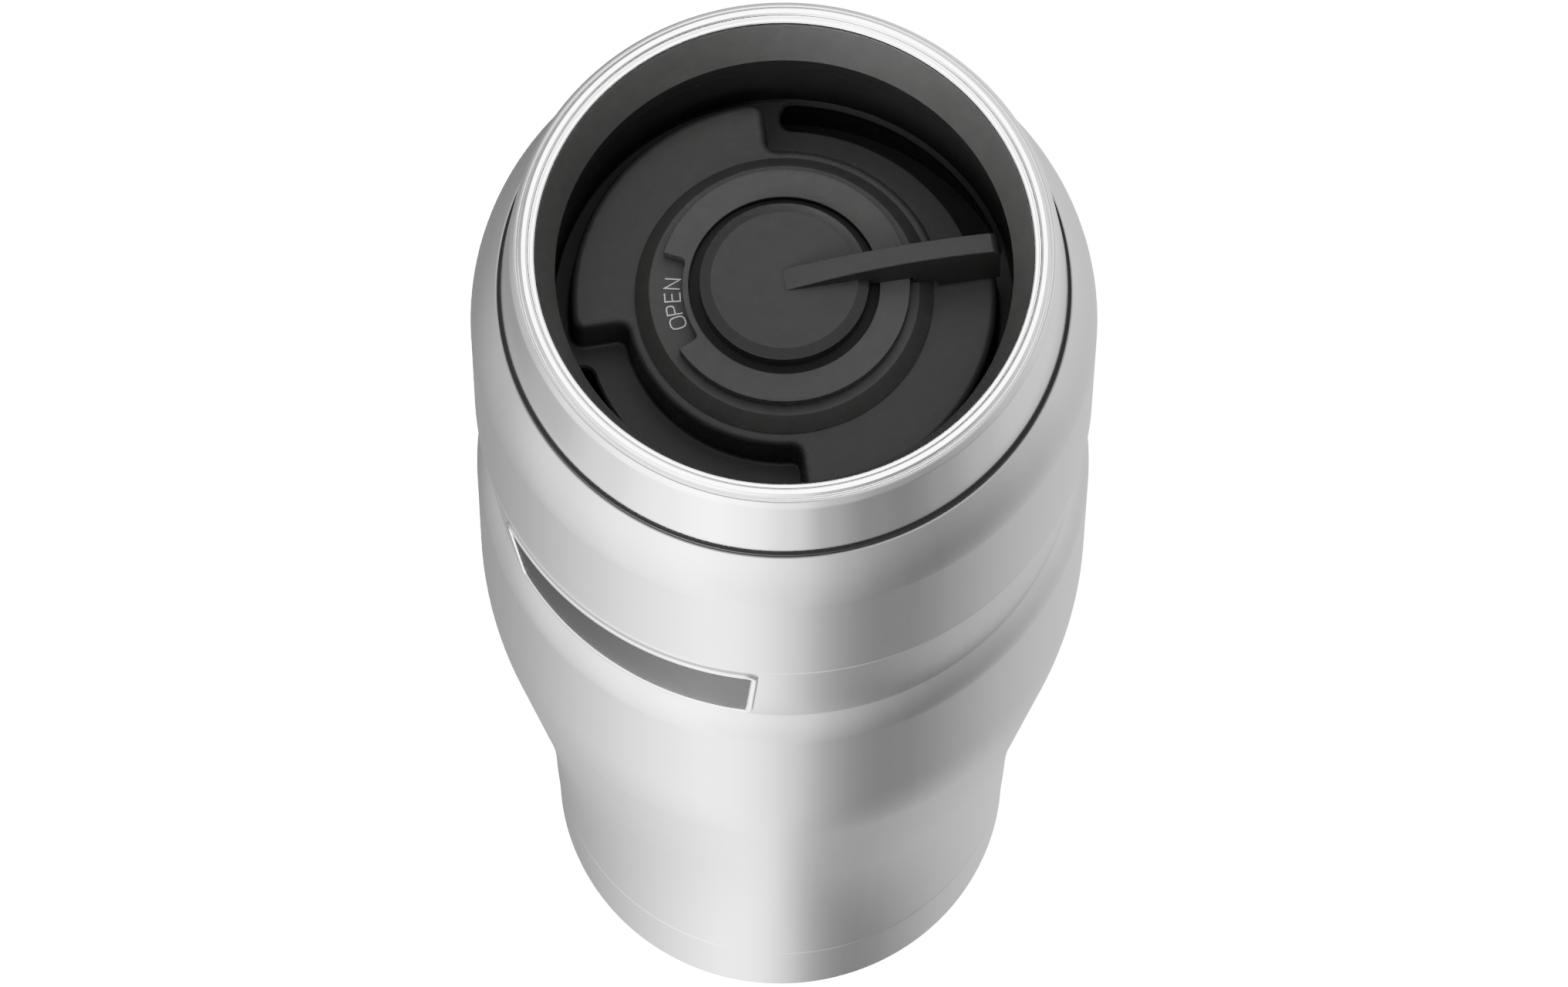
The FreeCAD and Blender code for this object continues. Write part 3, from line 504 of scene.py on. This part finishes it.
def badge_outline():
    """The plate's flat outline: x along the wall, y up it, wider at the top."""
    low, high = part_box("badge_frame")
    foot = low.z / MM
    top = high.z / MM
    wide = 21.0
    narrow = 19.2
    corners = [(-narrow, foot, BADGE_CORNER), (narrow, foot, BADGE_CORNER),
               (wide, top, BADGE_CORNER), (-wide, top, BADGE_CORNER)]
    dense = []
    for index, corner in enumerate(corners):
        after = corners[(index + 1) % 4]
        dense.append(corner)
        steps = 40 if corner[1] == after[1] else 12
        for step in range(1, steps):
            along = step / steps
            dense.append((corner[0] + (after[0] - corner[0]) * along,
                          corner[1] + (after[1] - corner[1]) * along, 0.0))
    return drop_crowded(dense, BADGE_CORNER * 1.05)


def groove_radius(height):
    """The radius of the recessed band, which leans outwards, at a height."""
    slope = (BAND_RADIUS - 0.05 - GROOVE[0]) / (BAND_LOW - GROOVE[1])
    return GROOVE[0] + slope * (height - GROOVE[1])


def on_groove(points, proud):
    """Wrap flat points round the groove's wall, at a height above it."""
    wrapped = []
    for point in points:
        radius = groove_radius(point.y)
        turn = math.radians(BADGE_AZIMUTH) + point.x / radius
        reach = radius + proud
        wrapped.append(Vector((reach * math.cos(turn), reach * math.sin(turn), point.y)))
    return wrapped


def grid_patch(build, loop, proud, rows=9):
    """Fill a wrapped outline with strips that shrink towards its own middle line."""
    middle = sum(p.y for p in loop) / len(loop)
    loops = []
    for row in range(rows + 1):
        share = 1.0 - row / rows
        points = [Vector((p.x * (0.25 + 0.75 * share), middle + (p.y - middle) * share))
                  for p in loop]
        loops.append(build.space_loop(on_groove(points, proud)))
    build.strips(loops)
    return loops[0]


def make_badge(materials):
    """The badge with no mark on it: a bright rim of rounded section round a plain dark field."""
    outline = badge_outline()
    build = Build()
    profile = [(0.0, BADGE_BACK), (0.0, 0.30), (-0.12, 0.46), (-0.25, BADGE_PROUD),
               (-0.70, BADGE_PROUD), (-0.88, 0.44), (-BADGE_RIM, 0.28),
               (-BADGE_RIM, BADGE_BACK)]
    loops = [build.space_loop(on_groove(offset(outline, out), up)) for out, up in profile]
    build.strips(loops + [loops[0]])
    rim = build.finish("badge_rim", materials["bright"])
    belongs(rim, "mug", "badge_rim", "badge_frame")
    build = Build()
    inner = offset(outline, -BADGE_RIM)
    front = grid_patch(build, inner, FIELD_PROUD)
    build.strip(front, build.space_loop(on_groove(inner, BADGE_BACK)))
    field = build.finish("badge_field", materials["field"])
    belongs(field, "mug", "badge_field", "badge_plate")


# ---------------------------------------------------------------- the lid's shell

COLLAR_TOP = (32.45, 196.75)
COLLAR_EDGE = (29.71, 190.84)
BOWL_RADIUS = 30.5
LIP_OUTER = 34.42
LIP_DIP = 33.05
LIP_INNER = 32.3


def make_lid_skin(materials):
    """The tapered skin with its rolled hem, and the bright two-bead lip inside it."""
    foot = foot_of("lid_skin")
    under = 196.0
    base = 197.05
    crown = 197.6
    outline = [(36.4, foot, 0.1), (37.0, foot, 0.15), (35.62, 196.3, 1.2), (34.95, 197.38, 0.3),
               (LIP_OUTER + 0.1, base, 0.1), (LIP_OUTER, base - 0.1), (LIP_OUTER, under),
               (34.9, under)]
    skirt = turned_piece("lid_skirt", outline, materials["skin"])
    belongs(skirt, "lid", "lip_steel", "lid_skin")
    outline = [(LIP_OUTER, under), (LIP_OUTER, crown)]
    outline += arc((LIP_OUTER, crown), (LIP_DIP, crown), 0.70, 1, 16)
    outline += [(LIP_DIP, crown), (LIP_DIP, base + 0.05)]
    outline += arc((LIP_DIP, base + 0.05), (LIP_INNER, base - 0.3), 0.42, 1, 12)
    outline += [(LIP_INNER, base - 0.3), (LIP_INNER, under)]
    lip = turned_piece("drinking_lip", outline, materials["lip"])
    belongs(lip, "lid", "lip_steel", "lid_skin")
    return lip


def paint_shade(piece, material, inside):
    """Paint shade: give the faces picked out by radius, height and upward tilt a second, darker
    material.
    """
    piece.data.materials.append(material)
    for face in piece.data.polygons:
        reach = math.hypot(face.center.x, face.center.y) / MM
        if inside(reach, face.center.z / MM, face.normal.z):
            face.material_index = 1


def make_lid_collar(materials):
    """The sloping plastic funnel inside the lip, and the bowl wall undercut below it."""
    wall = BOWL_RADIUS + 1.8
    under = 195.95
    outline = [
        (*COLLAR_TOP, 0.1), (*COLLAR_EDGE, 0.12), (BOWL_RADIUS, 189.74, 0.3),
        (BOWL_RADIUS, 186.2), (wall, 186.2), (wall, 190.84), (33.7, 194.55),
        (34.3, 194.55), (34.3, under), (COLLAR_TOP[0], under),
    ]
    piece = turned_piece("collar", outline, materials["collar"])
    # painted shade: the bowl wall and undercut below the collar's edge take the near-black plastic
    paint_shade(piece, materials["bowl_wall_shade"],
           lambda reach, height, up: height < COLLAR_EDGE[1] - 0.1)
    return belongs(piece, "lid", "lid_plastic", "lid_collar")


# ---------------------------------------------------------------- the deck in the bowl

DECK_FLOOR = 176.2
DECK_UNDER = 174.7
PLATEAU = 182.3
PLATEAU_RADIUS = 27.8
HUB_RADIUS = 20.85
RECESS_START = 10.3
RECESS_END = 96.5
HALF_TURN = 180.0
SLOT_EDGE = 0.3
DECK_FLANGE = 1.35


def plateau_loop():
    """The raised part's outline: two wide fans joined through the hub."""
    bands = []
    for turn in (0.0, HALF_TURN):
        bands.append((HUB_RADIUS, RECESS_START + turn, RECESS_END + turn))
        bands.append((PLATEAU_RADIUS, RECESS_END + turn, RECESS_START + HALF_TURN + turn))
    return banded_loop(bands, [(1.5, 1.5)] * len(bands))


def slot_loop(turn):
    """One crescent pouring slot in a recess's floor."""
    inner = 26.2
    outer = 29.9
    start = RECESS_START + 6.0 + turn
    end = RECESS_END - 5.0 + turn
    return banded_loop([(outer, start, end), (inner, end, start)], [(1.6, 1.6)] * 2)


def make_deck(materials):
    """The bowl's floor: a raised part with drafted walls, recesses, slots and the hub under it."""
    build = Build()
    loop = plateau_loop()
    top_round = 1.0
    foot_round = 0.5
    draft = 0.15
    rings = []
    for step in range(FILLET_STEPS + 1):
        turn = math.pi / 2 * step / FILLET_STEPS
        out = -top_round * (1 - math.sin(turn))
        rings.append((out, PLATEAU - top_round * (1 - math.cos(turn))))
    for step in range(FILLET_STEPS + 1):
        turn = math.pi / 2 * step / FILLET_STEPS
        out = draft + foot_round * (1 - math.cos(turn))
        rings.append((out, DECK_FLOOR + foot_round * (1 - math.sin(turn))))
    loops = [build.loop(offset(loop, out), height) for out, height in rings]
    build.strips(loops)
    slots = [slot_loop(turn) for turn in (0.0, HALF_TURN)]
    slot_tops = [build.loop(offset(s, SLOT_EDGE), DECK_FLOOR) for s in slots]
    slot_necks = [build.loop(s, DECK_FLOOR - SLOT_EDGE) for s in slots]
    slot_feet = [build.loop(s, DECK_UNDER) for s in slots]
    for top, neck, foot in zip(slot_tops, slot_necks, slot_feet):
        build.strips([top, neck, foot])
    floor_rim = build.loop(ring_points(BOWL_RADIUS - SLOT_EDGE), DECK_FLOOR)
    build.cap(floor_rim, [loops[-1], *slot_tops])
    flange = top_of("lid_deck")
    outer = BOWL_RADIUS + DECK_FLANGE
    wall = [floor_rim]
    for radius, height in ((BOWL_RADIUS, DECK_FLOOR + SLOT_EDGE), (BOWL_RADIUS, flange),
                           (outer, flange), (outer, DECK_UNDER)):
        wall.append(build.loop(ring_points(radius), height))
    build.strips(wall)
    bore = 3.08
    boss = 6.5
    hollow = 18.5
    ceiling = 180.8
    boss_foot = 178.4
    hub = []
    for radius, height in ((hollow, DECK_UNDER), (hollow, ceiling), (boss, ceiling),
                           (boss, boss_foot), (bore, boss_foot), (bore, PLATEAU)):
        hub.append(build.loop(ring_points(radius, 96), height))
    build.strips(hub)
    build.cap(wall[-1], [hub[0], *slot_feet], up=False)
    build.cap(loops[0], [hub[-1]])
    piece = build.finish("deck", materials["deck"], weighted=True)
    # painted shade: the deck's steep faces near the bowl wall and the slots' outer walls take the
    # near-black plastic
    paint_shade(piece, materials["bowl_wall_shade"],
           lambda reach, height, up: reach > BOWL_RADIUS - 1.1 and up < 0.9)
    return belongs(piece, "lid", "lid_plastic", "lid_deck")


# ---------------------------------------------------------------- the dial

DIAL_FACE = 184.25


def make_dial_base(materials):
    """The round plinth that the indicator turns on, with its bevelled side."""
    foot = radius_of("dial_base")
    bore = 3.6
    outline = [(bore, PLATEAU), (foot, PLATEAU, 0.1), (17.59, DIAL_FACE, 0.25),
               (17.3, DIAL_FACE), (bore, DIAL_FACE)]
    piece = turned_piece("dial_plinth", outline, materials["dial"])
    return belongs(piece, "lid", "dial_plastic", "dial_base")


NOTCH_START = 164.3
NOTCH_END = 213.8


def make_indicator(materials):
    """The C-shaped ring, whose notch shows the word below it, and its thin web."""
    build = Build()
    outer = 16.4
    notch = 13.3
    inner = 12.43
    top = top_of("indicator_ring")
    foot = foot_of("indicator_ring")
    web = 185.05
    bore = 3.05
    edge = 0.2
    bands = [(outer, NOTCH_END, NOTCH_START + 360.0), (notch, NOTCH_START, NOTCH_END)]
    loop = banded_loop(bands, [(0.25, 0.25), (0.8, 0.8)])
    rings = [(-edge, top), (-edge * 0.3, top - edge * 0.3), (0.0, top - edge), (0.0, foot)]
    loops = [build.loop(offset(loop, out), height) for out, height in rings]
    build.strips(loops)
    hub = []
    for radius, height in ((inner + edge, top), (inner + edge * 0.3, top - edge * 0.3),
                           (inner, top - edge), (inner, web), (bore, web), (bore, foot)):
        hub.append(build.loop(ring_points(radius, 120), height))
    build.strips(hub)
    build.cap(loops[0], [hub[0]])
    build.cap(loops[-1], [hub[-1]], up=False)
    piece = build.finish("indicator", materials["dial"], weighted=True)
    # painted shade: the C-ring's web and inner wall, in the hollow round the knob, take the
    # near-black plastic
    paint_shade(piece, materials["ring_hollow_shade"], lambda reach, height, up: reach < inner + 0.02)
    return belongs(piece, "dial", "dial_plastic", "indicator_ring")


def make_knob(materials):
    """The lever's round knob, bevelled at its edge and bored for the shaft."""
    foot = 185.1
    face = 187.66
    flat = 9.58
    radius = 11.06
    bore = 3.05
    bore_top = 186.65
    outline = [(0.0, face), (flat, face, 0.1), (radius, 187.2, 0.12), (radius, foot),
               (bore, foot), (bore, bore_top), (0.0, bore_top)]
    piece = turned_piece("knob", outline, materials["knob"], closed=False)
    # painted shade: the bevel round the knob's face takes the darker copy of its plastic
    paint_shade(piece, materials["knob_bevel_shade"], lambda reach, height, up: reach > flat + 0.12)
    return belongs(piece, "dial", "lever_plastic", "lever")


LEVER_AZIMUTH = 9.5
LEVER_REACH = 28.2
LEVER_TOP_HALF = 1.335
LEVER_FOOT_HALF = 1.95
LEVER_FOOT = 182.75
LEVER_CROWN = 190.5
LEVER_NOSE = 1.3


def lever_top(reach):
    """The height of the fin's arched top edge at a distance from the axis."""
    start = 187.8
    end = 190.05
    share = reach / LEVER_REACH
    sag = 1.42
    arch = start + (end - start) * share + 4 * sag * share * (1 - share)
    past = reach - (LEVER_REACH - LEVER_NOSE)
    if past > 0:
        arch -= LEVER_NOSE - math.sqrt(max(LEVER_NOSE ** 2 - past ** 2, 0.0))
    return arch


def lever_section(reach, foot):
    """The fin's section across its length: a foot wider than its rounded top."""
    top = lever_top(reach)
    edge = 0.24
    lean = (LEVER_FOOT_HALF - LEVER_TOP_HALF) / (LEVER_CROWN - LEVER_FOOT)

    def half(height):
        return LEVER_TOP_HALF + (LEVER_CROWN - height) * lean

    side = [(half(foot), foot), (half(top - edge), top - edge),
            (half(top) - edge * 0.3, top - edge * 0.3), (half(top) - edge, top)]
    mirrored = [(-across, height) for across, height in reversed(side)]
    return side + mirrored


def lever_stations():
    """Each section's distance from the axis and foot height; the foot steps over the dial."""
    ring_end = 16.75
    dial_end = 20.1
    over_ring = 186.05
    over_dial = 184.65
    feet = ((0.0, ring_end, over_ring), (ring_end, dial_end, over_dial),
            (dial_end, LEVER_REACH - LEVER_NOSE, LEVER_FOOT))
    stations = []
    for start, end, foot in feet:
        steps = max(2, round((end - start) / 0.5))
        stations += [(start + (end - start) * step / steps, foot) for step in range(steps + 1)]
    nose_steps = 9
    for step in range(1, nose_steps + 1):
        turn = math.pi / 2 * step / nose_steps
        stations.append((LEVER_REACH - LEVER_NOSE * (1 - math.sin(turn)), LEVER_FOOT))
    return stations


def make_fin(materials):
    """The lever's arched fin; its sides take a darker copy of the top's plastic, as painted shade.
    """
    build = Build()
    turn = Matrix.Rotation(math.radians(LEVER_AZIMUTH), 3, "Z")
    loops = []
    for reach, foot in lever_stations():
        loops.append(build.space_loop([turn @ Vector((reach, across, height))
                                       for across, height in lever_section(reach, foot)]))
    build.strips(loops)
    build.bm.faces.new(loops[0])
    build.bm.faces.new(list(reversed(loops[-1])))
    piece = build.finish("lever_fin", materials["lever"], weighted=True)
    # painted shade: the fin's steep sides take the darker copy of its plastic
    paint_shade(piece, materials["lever_flank_shade"], lambda reach, height, up: up < 0.35)
    return belongs(piece, "dial", "lever_plastic", "lever")


# ---------------------------------------------------------------- the printed word

LETTER_HIGH = 2.0
STROKE = 0.15
LETTERS = (
    # each letter: its azimuth, its width, and its strokes on a unit square
    (199.0, 1.62, [[(0.3, 0), (0.7, 0), (0.93, 0.12), (1, 0.35), (1, 0.65), (0.93, 0.88),
                    (0.7, 1), (0.3, 1), (0.07, 0.88), (0, 0.65), (0, 0.35), (0.07, 0.12),
                    (0.3, 0)]]),
    (191.7, 1.25, [[(0, 0), (0, 1), (0.7, 1), (0.93, 0.93), (1, 0.75), (0.93, 0.56),
                    (0.7, 0.49), (0, 0.49)]]),
    (184.6, 1.20, [[(1, 0), (0, 0), (0, 1), (1, 1)], [(0, 0.52), (0.88, 0.52)]]),
    (177.2, 1.35, [[(0, 0), (0, 1), (1, 0), (1, 1)]]),
)


def make_word(materials):
    """The word that says the valve is open, as thin raised print on the plinth's face."""
    build = Build()
    middle = 14.58
    face = DIAL_FACE + 0.01
    thick = 0.03
    for azimuth, wide, strokes in LETTERS:
        for stroke in strokes:
            points = [Vector(((x - 0.5) * wide, (y - 0.5) * LETTER_HIGH)) for x, y in stroke]
            ribbon(build, points, azimuth, middle, face, thick)
    piece = build.finish("dial_word", materials["print"])
    return belongs(piece, "lid", "dial_plastic")


def ribbon(build, points, azimuth, middle, face, thick):
    """A stroke of even width along points, set on the dial with its top outwards."""
    closed = (points[0] - points[-1]).length < 1e-6
    if closed:
        points = points[:-1]
    count = len(points)
    sides = []
    for index, here in enumerate(points):
        before = points[index - 1] if closed or index > 0 else here
        after = points[(index + 1) % count] if closed or index < count - 1 else here
        first = (here - before).normalized() if here != before else (after - here).normalized()
        last = (after - here).normalized() if after != here else first
        along = (first + last).normalized()
        across = Vector((-along.y, along.x))
        mitre = STROKE / 2 / max(across.dot(Vector((-first.y, first.x))), 0.35)
        sides.append((here + across * mitre, here - across * mitre))
    turn = math.radians(azimuth)
    outward = Vector((math.cos(turn), math.sin(turn)))
    onward = Vector((outward.y, -outward.x))

    def set_down(point, height):
        flat = outward * (middle + point.y) + onward * point.x
        return build.bm.verts.new((flat.x, flat.y, height))

    rows = [[set_down(left, face + thick), set_down(right, face + thick),
             set_down(right, face), set_down(left, face)] for left, right in sides]
    if closed:
        rows.append(rows[0])
    for here, after in zip(rows, rows[1:]):
        for side in range(4):
            other = (side + 1) % 4
            build.bm.faces.new([here[side], here[other], after[other], after[side]])
    if not closed:
        build.bm.faces.new(rows[0])
        build.bm.faces.new(list(reversed(rows[-1])))


# ---------------------------------------------------------------- under the lid


def make_plug(materials):
    """The cup that goes down the neck: valve seat, gasket groove, flange and screw thread."""
    foot = foot_of("lid_plug")
    floor = foot + 2.0
    seat = 9.0
    inner = 31.9
    groove = 32.4
    side = 33.8
    flange = 36.1
    flange_foot = 184.9
    flange_top = 186.15
    groove_foot = 164.2
    groove_top = 167.0
    outline = [
        (seat, foot, 0.3), (side, foot, 0.8), (side, groove_foot, 0.2), (groove, groove_foot),
        (groove, groove_top), (side, groove_top, 0.2), (side, flange_foot),
        (flange, flange_foot, 0.2), (flange, flange_top, 0.2), (inner, flange_top),
        (inner, floor), (seat, floor, 0.3),
    ]
    piece = turned_piece("plug", outline, materials["deck"])
    belongs(piece, "lid", "lid_plastic", "lid_plug")
    make_thread(materials)


def make_thread(materials):
    """The plug's raised thread, which rises out of the wall at one end and sinks at the other."""
    build = Build()
    pitch = 4.0
    low = 171.0
    turns = 2.0
    steps = 240
    run_out = 12
    root = 33.6
    crest = 34.2
    rows = []
    for step in range(steps + 1):
        share = step / steps
        fade = min(1.0, share * run_out, (1 - share) * run_out)
        reach = root + (crest - root) * fade
        height = low + pitch * turns * share
        azimuth = 360.0 * turns * share
        rows.append([build.bm.verts.new((*polar(radius, azimuth), height + rise))
                     for radius, rise in ((root, -1.0), (reach, -0.4), (reach, 0.4), (root, 1.0))])
    for here, after in zip(rows, rows[1:]):
        for side in range(4):
            other = (side + 1) % 4
            build.bm.faces.new([here[side], here[other], after[other], after[side]])
    build.bm.faces.new(rows[0])
    build.bm.faces.new(list(reversed(rows[-1])))
    thread = build.finish("thread", materials["deck"])
    belongs(thread, "lid", "lid_plastic", "lid_plug")


def make_gasket(materials):
    """The silicone ring round the plug, with two soft lips."""
    low = foot_of("lid_gasket")
    high = top_of("lid_gasket")
    middle = (low + high) / 2
    outline = [(32.45, low), (33.4, low, 0.2), (34.2, low + 0.5, 0.25), (33.75, middle, 0.2),
               (34.2, high - 0.5, 0.25), (33.4, high, 0.2), (32.45, high)]
    piece = turned_piece("gasket", outline, materials["silicone"])
    return belongs(piece, "lid", "silicone", "lid_gasket")


def make_seam_ring(materials):
    """The dark ring between lid and mug; it stands a little prouder than its CAD node."""
    low = foot_of("seam_ring")
    high = top_of("seam_ring")
    proud = 0.15
    side = radius_of("seam_ring") + proud
    inner = 34.9
    shelf = 36.15
    outline = [(inner, low, 0.1), (side, low, 0.1), (side, high, 0.1), (shelf, high),
               (shelf, high - 0.1), (inner, high - 0.1)]
    piece = turned_piece("seam", outline, materials["silicone"])
    return belongs(piece, "lid", "silicone", "seam_ring")


def make_valve(materials):
    """The valve plate with its raised edge, and the washer that sits inside the edge."""
    seat = 158.0
    foot = 156.4
    edge_top = 158.5
    bore = 1.25
    radius = 12.6
    pocket = 12.25
    outline = [(bore, foot), (radius, foot, 0.5), (radius, edge_top, 0.15),
               (pocket, edge_top, 0.1), (pocket, seat), (bore, seat)]
    disc = turned_piece("valve_plate", outline, materials["deck"], steps=128)
    belongs(disc, "valve", "lid_plastic", "valve_disc")
    outline = [(9.6, seat), (12.2, seat), (12.2, 158.8, 0.15), (10.9, 158.9, 0.3),
               (9.6, 158.6, 0.15)]
    seal = turned_piece("valve_washer", outline, materials["silicone"], steps=128)
    belongs(seal, "valve", "silicone", "valve_seal")


# The CAD nodes that no piece here stands for, and the finish each one takes.
CAD_FINISHES = {
    "shell_bottom": "inside",
    "vacuum_seal": "solder",
    "getter": "pellet",
    "drive_shaft": "acetal",
    "shaft_o_ring": "silicone",
    "shaft_clip": "inside",
    "cam_pin": "inside",
    "valve_guide": "acetal",
    "valve_stem": "acetal",
    "valve_screw": "inside",
}


def finish_cad_nodes(materials):
    """Give every CAD node that stays in view its material."""
    for node, finish in CAD_FINISHES.items():
        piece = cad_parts[node]
        piece.data.materials.clear()
        piece.data.materials.append(materials[finish])


# ---------------------------------------------------------------- the studio

FLOOR_GLOW = 16.0
FLOOR_HALF = 4.0
OVERHEAD = 0.85
CEILING_BAND = (0.40, 0.70)
HORIZON_GAIN = 1.5
HORIZON_BAND = (-0.60, 0.05)
PANEL_SIZE = 4.0
PANEL_HEIGHT = 2.2
PANEL_WATTS = 420.0
LENS = 265.2
CAMERA_PLACE = (0.00018, -0.5813, 1.5705)
CAMERA_LOOKS_DOWN = 68.26
CAMERA_ROLL = 0.433
STUDIO = (
    # azimuth in degrees and how bright the studio's wall is there
    (-180, 0.7), (-152, 2.0), (-132, 4.6), (-114, 8.0), (-102, 5.2), (-89, 2.1), (-76, 0.55),
    (-61, 0.27), (-46, 0.24), (-31, 0.36), (-14, 0.65), (4, 1.05), (30, 1.25), (68, 1.3),
    (90, 0.55), (112, 0.28), (145, 0.35), (180, 0.7),
)


def make_floor():
    """A white floor that glows for the camera and lights nothing else."""
    mesh = bpy.data.meshes.new("floor")
    half = FLOOR_HALF
    corners = [(-half, -half, 0), (half, -half, 0), (half, half, 0), (-half, half, 0)]
    mesh.from_pydata(corners, [], [(0, 1, 2, 3)])
    nodes = Nodes("floor")
    nodes.shader.inputs["Base Color"].default_value = (0.93, 0.93, 0.93, 1)
    nodes.shader.inputs["Roughness"].default_value = 0.8
    nodes.shader.inputs["Emission Color"].default_value = (1, 1, 1, 1)
    nodes.shader.inputs["Emission Strength"].default_value = FLOOR_GLOW
    mesh.materials.append(nodes.material)
    floor = bpy.data.objects.new("floor", mesh)
    floor.visible_glossy = False
    floor.visible_diffuse = False
    bpy.context.scene.collection.objects.link(floor)


def make_world():
    """A soft studio: bright and dark walls all round, and an even ceiling."""
    world = bpy.data.worlds.new("studio")
    world.use_nodes = True
    tree = world.node_tree
    add = tree.nodes.new
    link = tree.links.new
    place = add("ShaderNodeTexCoord")
    parts = add("ShaderNodeSeparateXYZ")
    link(place.outputs["Generated"], parts.inputs[0])
    azimuth = add("ShaderNodeMath")
    azimuth.operation = "ARCTAN2"
    link(parts.outputs["Y"], azimuth.inputs[0])
    link(parts.outputs["X"], azimuth.inputs[1])
    share = add("ShaderNodeMapRange")
    share.inputs["From Min"].default_value = -math.pi
    share.inputs["From Max"].default_value = math.pi
    link(azimuth.outputs[0], share.inputs["Value"])
    walls = add("ShaderNodeValToRGB")
    brightest = max(level for _, level in STUDIO)
    ramp = walls.color_ramp
    ramp.interpolation = "EASE"
    for number, (turn, level) in enumerate(STUDIO):
        spot = turn / 360.0 + 0.5
        if number < 2:
            stop = ramp.elements[number]
            stop.position = spot
        else:
            stop = ramp.elements.new(spot)
        stop.color = (*[level / brightest] * 3, 1)
    link(share.outputs["Result"], walls.inputs["Fac"])
    ceiling = add("ShaderNodeMapRange")
    ceiling.interpolation_type = "SMOOTHSTEP"
    ceiling.inputs["From Min"].default_value = CEILING_BAND[0]
    ceiling.inputs["From Max"].default_value = CEILING_BAND[1]
    link(parts.outputs["Z"], ceiling.inputs["Value"])
    blend = add("ShaderNodeMix")
    blend.data_type = "RGBA"
    link(ceiling.outputs["Result"], blend.inputs["Factor"])
    blend.inputs["B"].default_value = (*[OVERHEAD / brightest] * 3, 1)
    horizon = add("ShaderNodeMapRange")
    horizon.interpolation_type = "SMOOTHSTEP"
    horizon.inputs["From Min"].default_value = HORIZON_BAND[0]
    horizon.inputs["From Max"].default_value = HORIZON_BAND[1]
    horizon.inputs["To Min"].default_value = 1.0
    horizon.inputs["To Max"].default_value = HORIZON_GAIN
    link(parts.outputs["Z"], horizon.inputs["Value"])
    lifted = add("ShaderNodeVectorMath")
    lifted.operation = "SCALE"
    link(walls.outputs["Color"], lifted.inputs[0])
    link(horizon.outputs["Result"], lifted.inputs["Scale"])
    link(lifted.outputs[0], blend.inputs["A"])
    background = tree.nodes["Background"]
    background.inputs["Strength"].default_value = brightest
    link(blend.outputs["Result"], background.inputs["Color"])
    bpy.context.scene.world = world


def make_lip_light(lip):
    """A wide overhead panel that only the polished lip takes light from."""
    panel = bpy.data.lights.new("overhead", "AREA")
    panel.shape = "DISK"
    panel.size = PANEL_SIZE
    panel.energy = PANEL_WATTS
    lamp = bpy.data.objects.new("overhead", panel)
    lamp.location = (0, 0, PANEL_HEIGHT)
    lamp.visible_camera = False
    bpy.context.scene.collection.objects.link(lamp)
    polished = bpy.data.collections.new("polished")
    polished.objects.link(lip)
    lamp.light_linking.receiver_collection = polished


def make_camera():
    """The photograph's view, from high above the front."""
    camera = bpy.data.cameras.new("camera")
    camera.lens = LENS
    camera.sensor_width = 36.0
    camera.clip_end = 20.0
    eye = bpy.data.objects.new("camera", camera)
    tilt = Euler((math.radians(90.0 - CAMERA_LOOKS_DOWN), 0, 0)).to_matrix()
    roll = Matrix.Rotation(math.radians(CAMERA_ROLL), 3, "Z")
    eye.matrix_world = Matrix.Translation(CAMERA_PLACE) @ (tilt @ roll).to_4x4()
    bpy.context.scene.collection.objects.link(eye)
    bpy.context.scene.camera = eye


def main():
    materials = make_materials()
    make_outer_shell(materials)
    make_base_cap(materials)
    make_inner_vessel(materials)
    make_badge(materials)
    lip = make_lid_skin(materials)
    make_lid_collar(materials)
    make_deck(materials)
    make_dial_base(materials)
    make_indicator(materials)
    make_knob(materials)
    make_fin(materials)
    make_word(materials)
    make_plug(materials)
    make_gasket(materials)
    make_seam_ring(materials)
    make_valve(materials)
    finish_cad_nodes(materials)
    make_floor()
    make_world()
    make_lip_light(lip)
    make_camera()


main()
bpy.context.view_layer.update()
